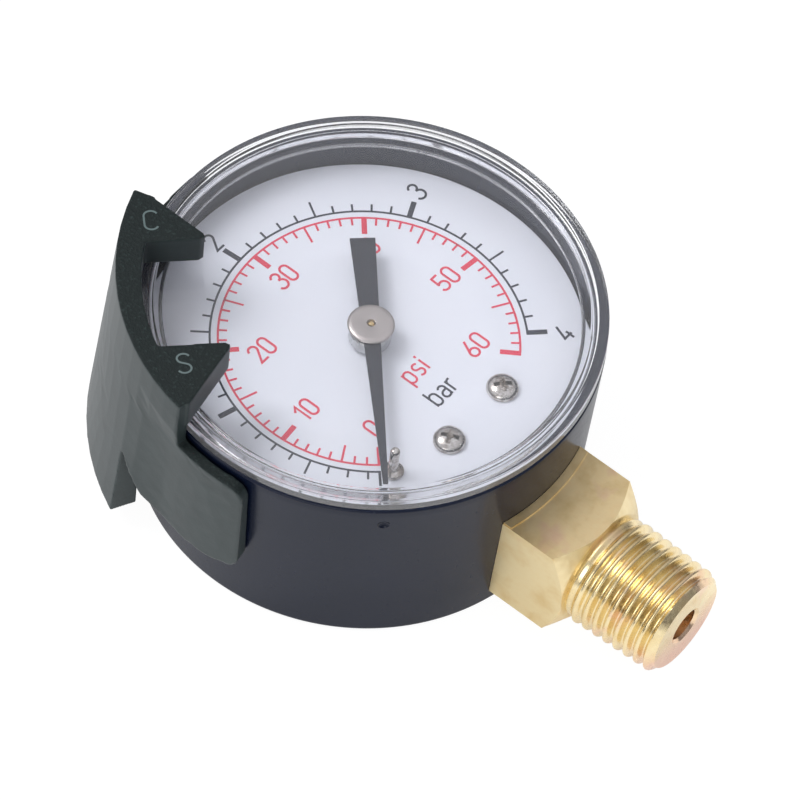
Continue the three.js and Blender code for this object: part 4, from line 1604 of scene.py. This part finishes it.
# -------------------------------------------------------------------------- studio
@dataclass
class Studio:
    """Floor, soft lights and camera.

    Attributes:
        azimuth: Camera azimuth, 0 looking along +Y.
        elevation: Camera height above the horizon.
        roll: Tilt of the camera about its own line of sight.
        distance: Camera distance from the origin.
        slide: Sideways and upward shift of the camera's axis.
        lens: Focal length on a 36 mm sensor.
        lift: Share of the floor's brightness that no shadow reaches.
        glow: Light that the floor gives by itself.
        shine: Brightness of the floor's unshadowed share.
        sky_strength: Brightness of the room.
        sky_full: Height on the sky ramp where it is brightest.
    """

    azimuth: float = -56.713
    elevation: float = 54.901
    roll: float = 7.099
    distance: float = 742.17
    slide: Point2 = (4.9197, 5.0325)
    lens: float = 290.73
    lift: float = 0.86
    glow: float = 0.3
    shine: float = 1.12
    sky_strength: float = 0.74
    sky_full: float = 0.85

    def camera(self) -> None:
        """Places the camera."""
        back = towards(self.azimuth, self.elevation)
        across, roll = Vector((*polar(1.0, self.azimuth), 0)), math.radians(self.roll)
        up = back.cross(across)
        right = across * math.cos(roll) + up * math.sin(roll)
        above = up * math.cos(roll) - across * math.sin(roll)
        place = back * self.distance + right * self.slide[0] + above * self.slide[1]
        data = bpy.data.cameras.new("studio_camera")
        data.lens = self.lens
        data.sensor_width = 36.0
        data.clip_start, data.clip_end = 0.01, 20.0
        camera = add_object("studio_camera", data)
        turn = Matrix((right, above, back)).transposed().to_4x4()
        camera.matrix_world = Matrix.Translation(place * MM) @ turn
        bpy.context.scene.camera = camera

    def floor(self) -> None:
        """Lays a wide pale floor under the gauge."""
        made = Solid("studio_floor")
        half = 3000.0
        corners = [(-half, -half), (half, -half), (half, half), (-half, half)]
        made.mesh.faces.new([made.mesh.verts.new((x, y, -0.02)) for x, y in corners])
        floor = made.object()
        s = Shader.start("pale_floor")
        tone = s.blend(s.noise(0.02, 2.0), (0.93, 0.93, 0.93), (0.95, 0.95, 0.95))
        matt = s.node("ShaderNodeBsdfDiffuse", Color=tone)
        lit = s.node("ShaderNodeEmission", Color=tone, Strength=self.glow)
        shadowed = s.join("ShaderNodeAddShader", matt, lit)
        plain = s.node("ShaderNodeEmission", Color=tone, Strength=self.shine)
        seen = s.maths("MULTIPLY", s.node("ShaderNodeLightPath").outputs["Is Camera Ray"], self.lift)
        dress(floor, s.finish(s.join("ShaderNodeMixShader", seen, shadowed, plain)))

    def light(
        self, name: str, power: float, size: Point2, azimuth: float, elevation: float, away: float,
    ) -> None:
        """Hangs one soft box that faces the gauge.

        Args:
            name: Name of the light.
            power: Power in watts.
            size: Width and height in metres.
            azimuth: Direction from the gauge, 0 towards -Y.
            elevation: Height above the horizon.
            away: Distance in metres.
        """
        data = bpy.data.lights.new(name, "AREA")
        data.shape = "RECTANGLE"
        data.size, data.size_y = size
        data.energy = power
        box = add_object(name, data)
        back = towards(azimuth, elevation)
        box.location = back * away + Vector((0, 0, 0.015))
        box.rotation_euler = (-back).to_track_quat("-Z", "Y").to_euler()

    def sky(self) -> None:
        """Surrounds the set with a soft pale room."""
        world = bpy.data.worlds.new("studio_room")
        bpy.context.scene.world = world
        s = Shader.clear(world)
        where = s.node("ShaderNodeTexCoord").outputs["Generated"]
        height = s.node("ShaderNodeSeparateXYZ", Vector=where).outputs["Z"]
        ramp = s.node("ShaderNodeValToRGB", Fac=height)
        stops = ((0.0, (0.16, 0.16, 0.19, 1)), (self.sky_full, (0.95, 0.96, 1.0, 1)))
        for element, (place, colour) in zip(ramp.color_ramp.elements, stops):
            element.position = place
            element.color = colour
        back = s.node("ShaderNodeBackground", Color=ramp.outputs[0], Strength=self.sky_strength)
        s.finish(back, "ShaderNodeOutputWorld")

    def build(self) -> None:
        """Sets up the whole studio."""
        self.floor()
        self.sky()
        self.light("key_box", 7.0, (0.6, 0.6), -158.0, 56.0, 1.5)
        self.light("left_box", 5.0, (0.9, 0.7), -72.0, 24.0, 1.5)
        self.camera()
        bpy.context.scene.view_settings.view_transform = "Standard"


def main() -> None:
    """Builds the gauge piece by piece, then the studio."""
    logging.basicConfig(level=logging.INFO, format="%(name)s: %(message)s")
    for finish in Finish:
        finish.made()
    case = Case()
    case.build()
    Window().build()
    Dial().build()
    Pointer().build()
    Stem().build(case)
    for part in (Clip, Works, Studio):
        part().build()


if __name__ == "__main__":
    main()
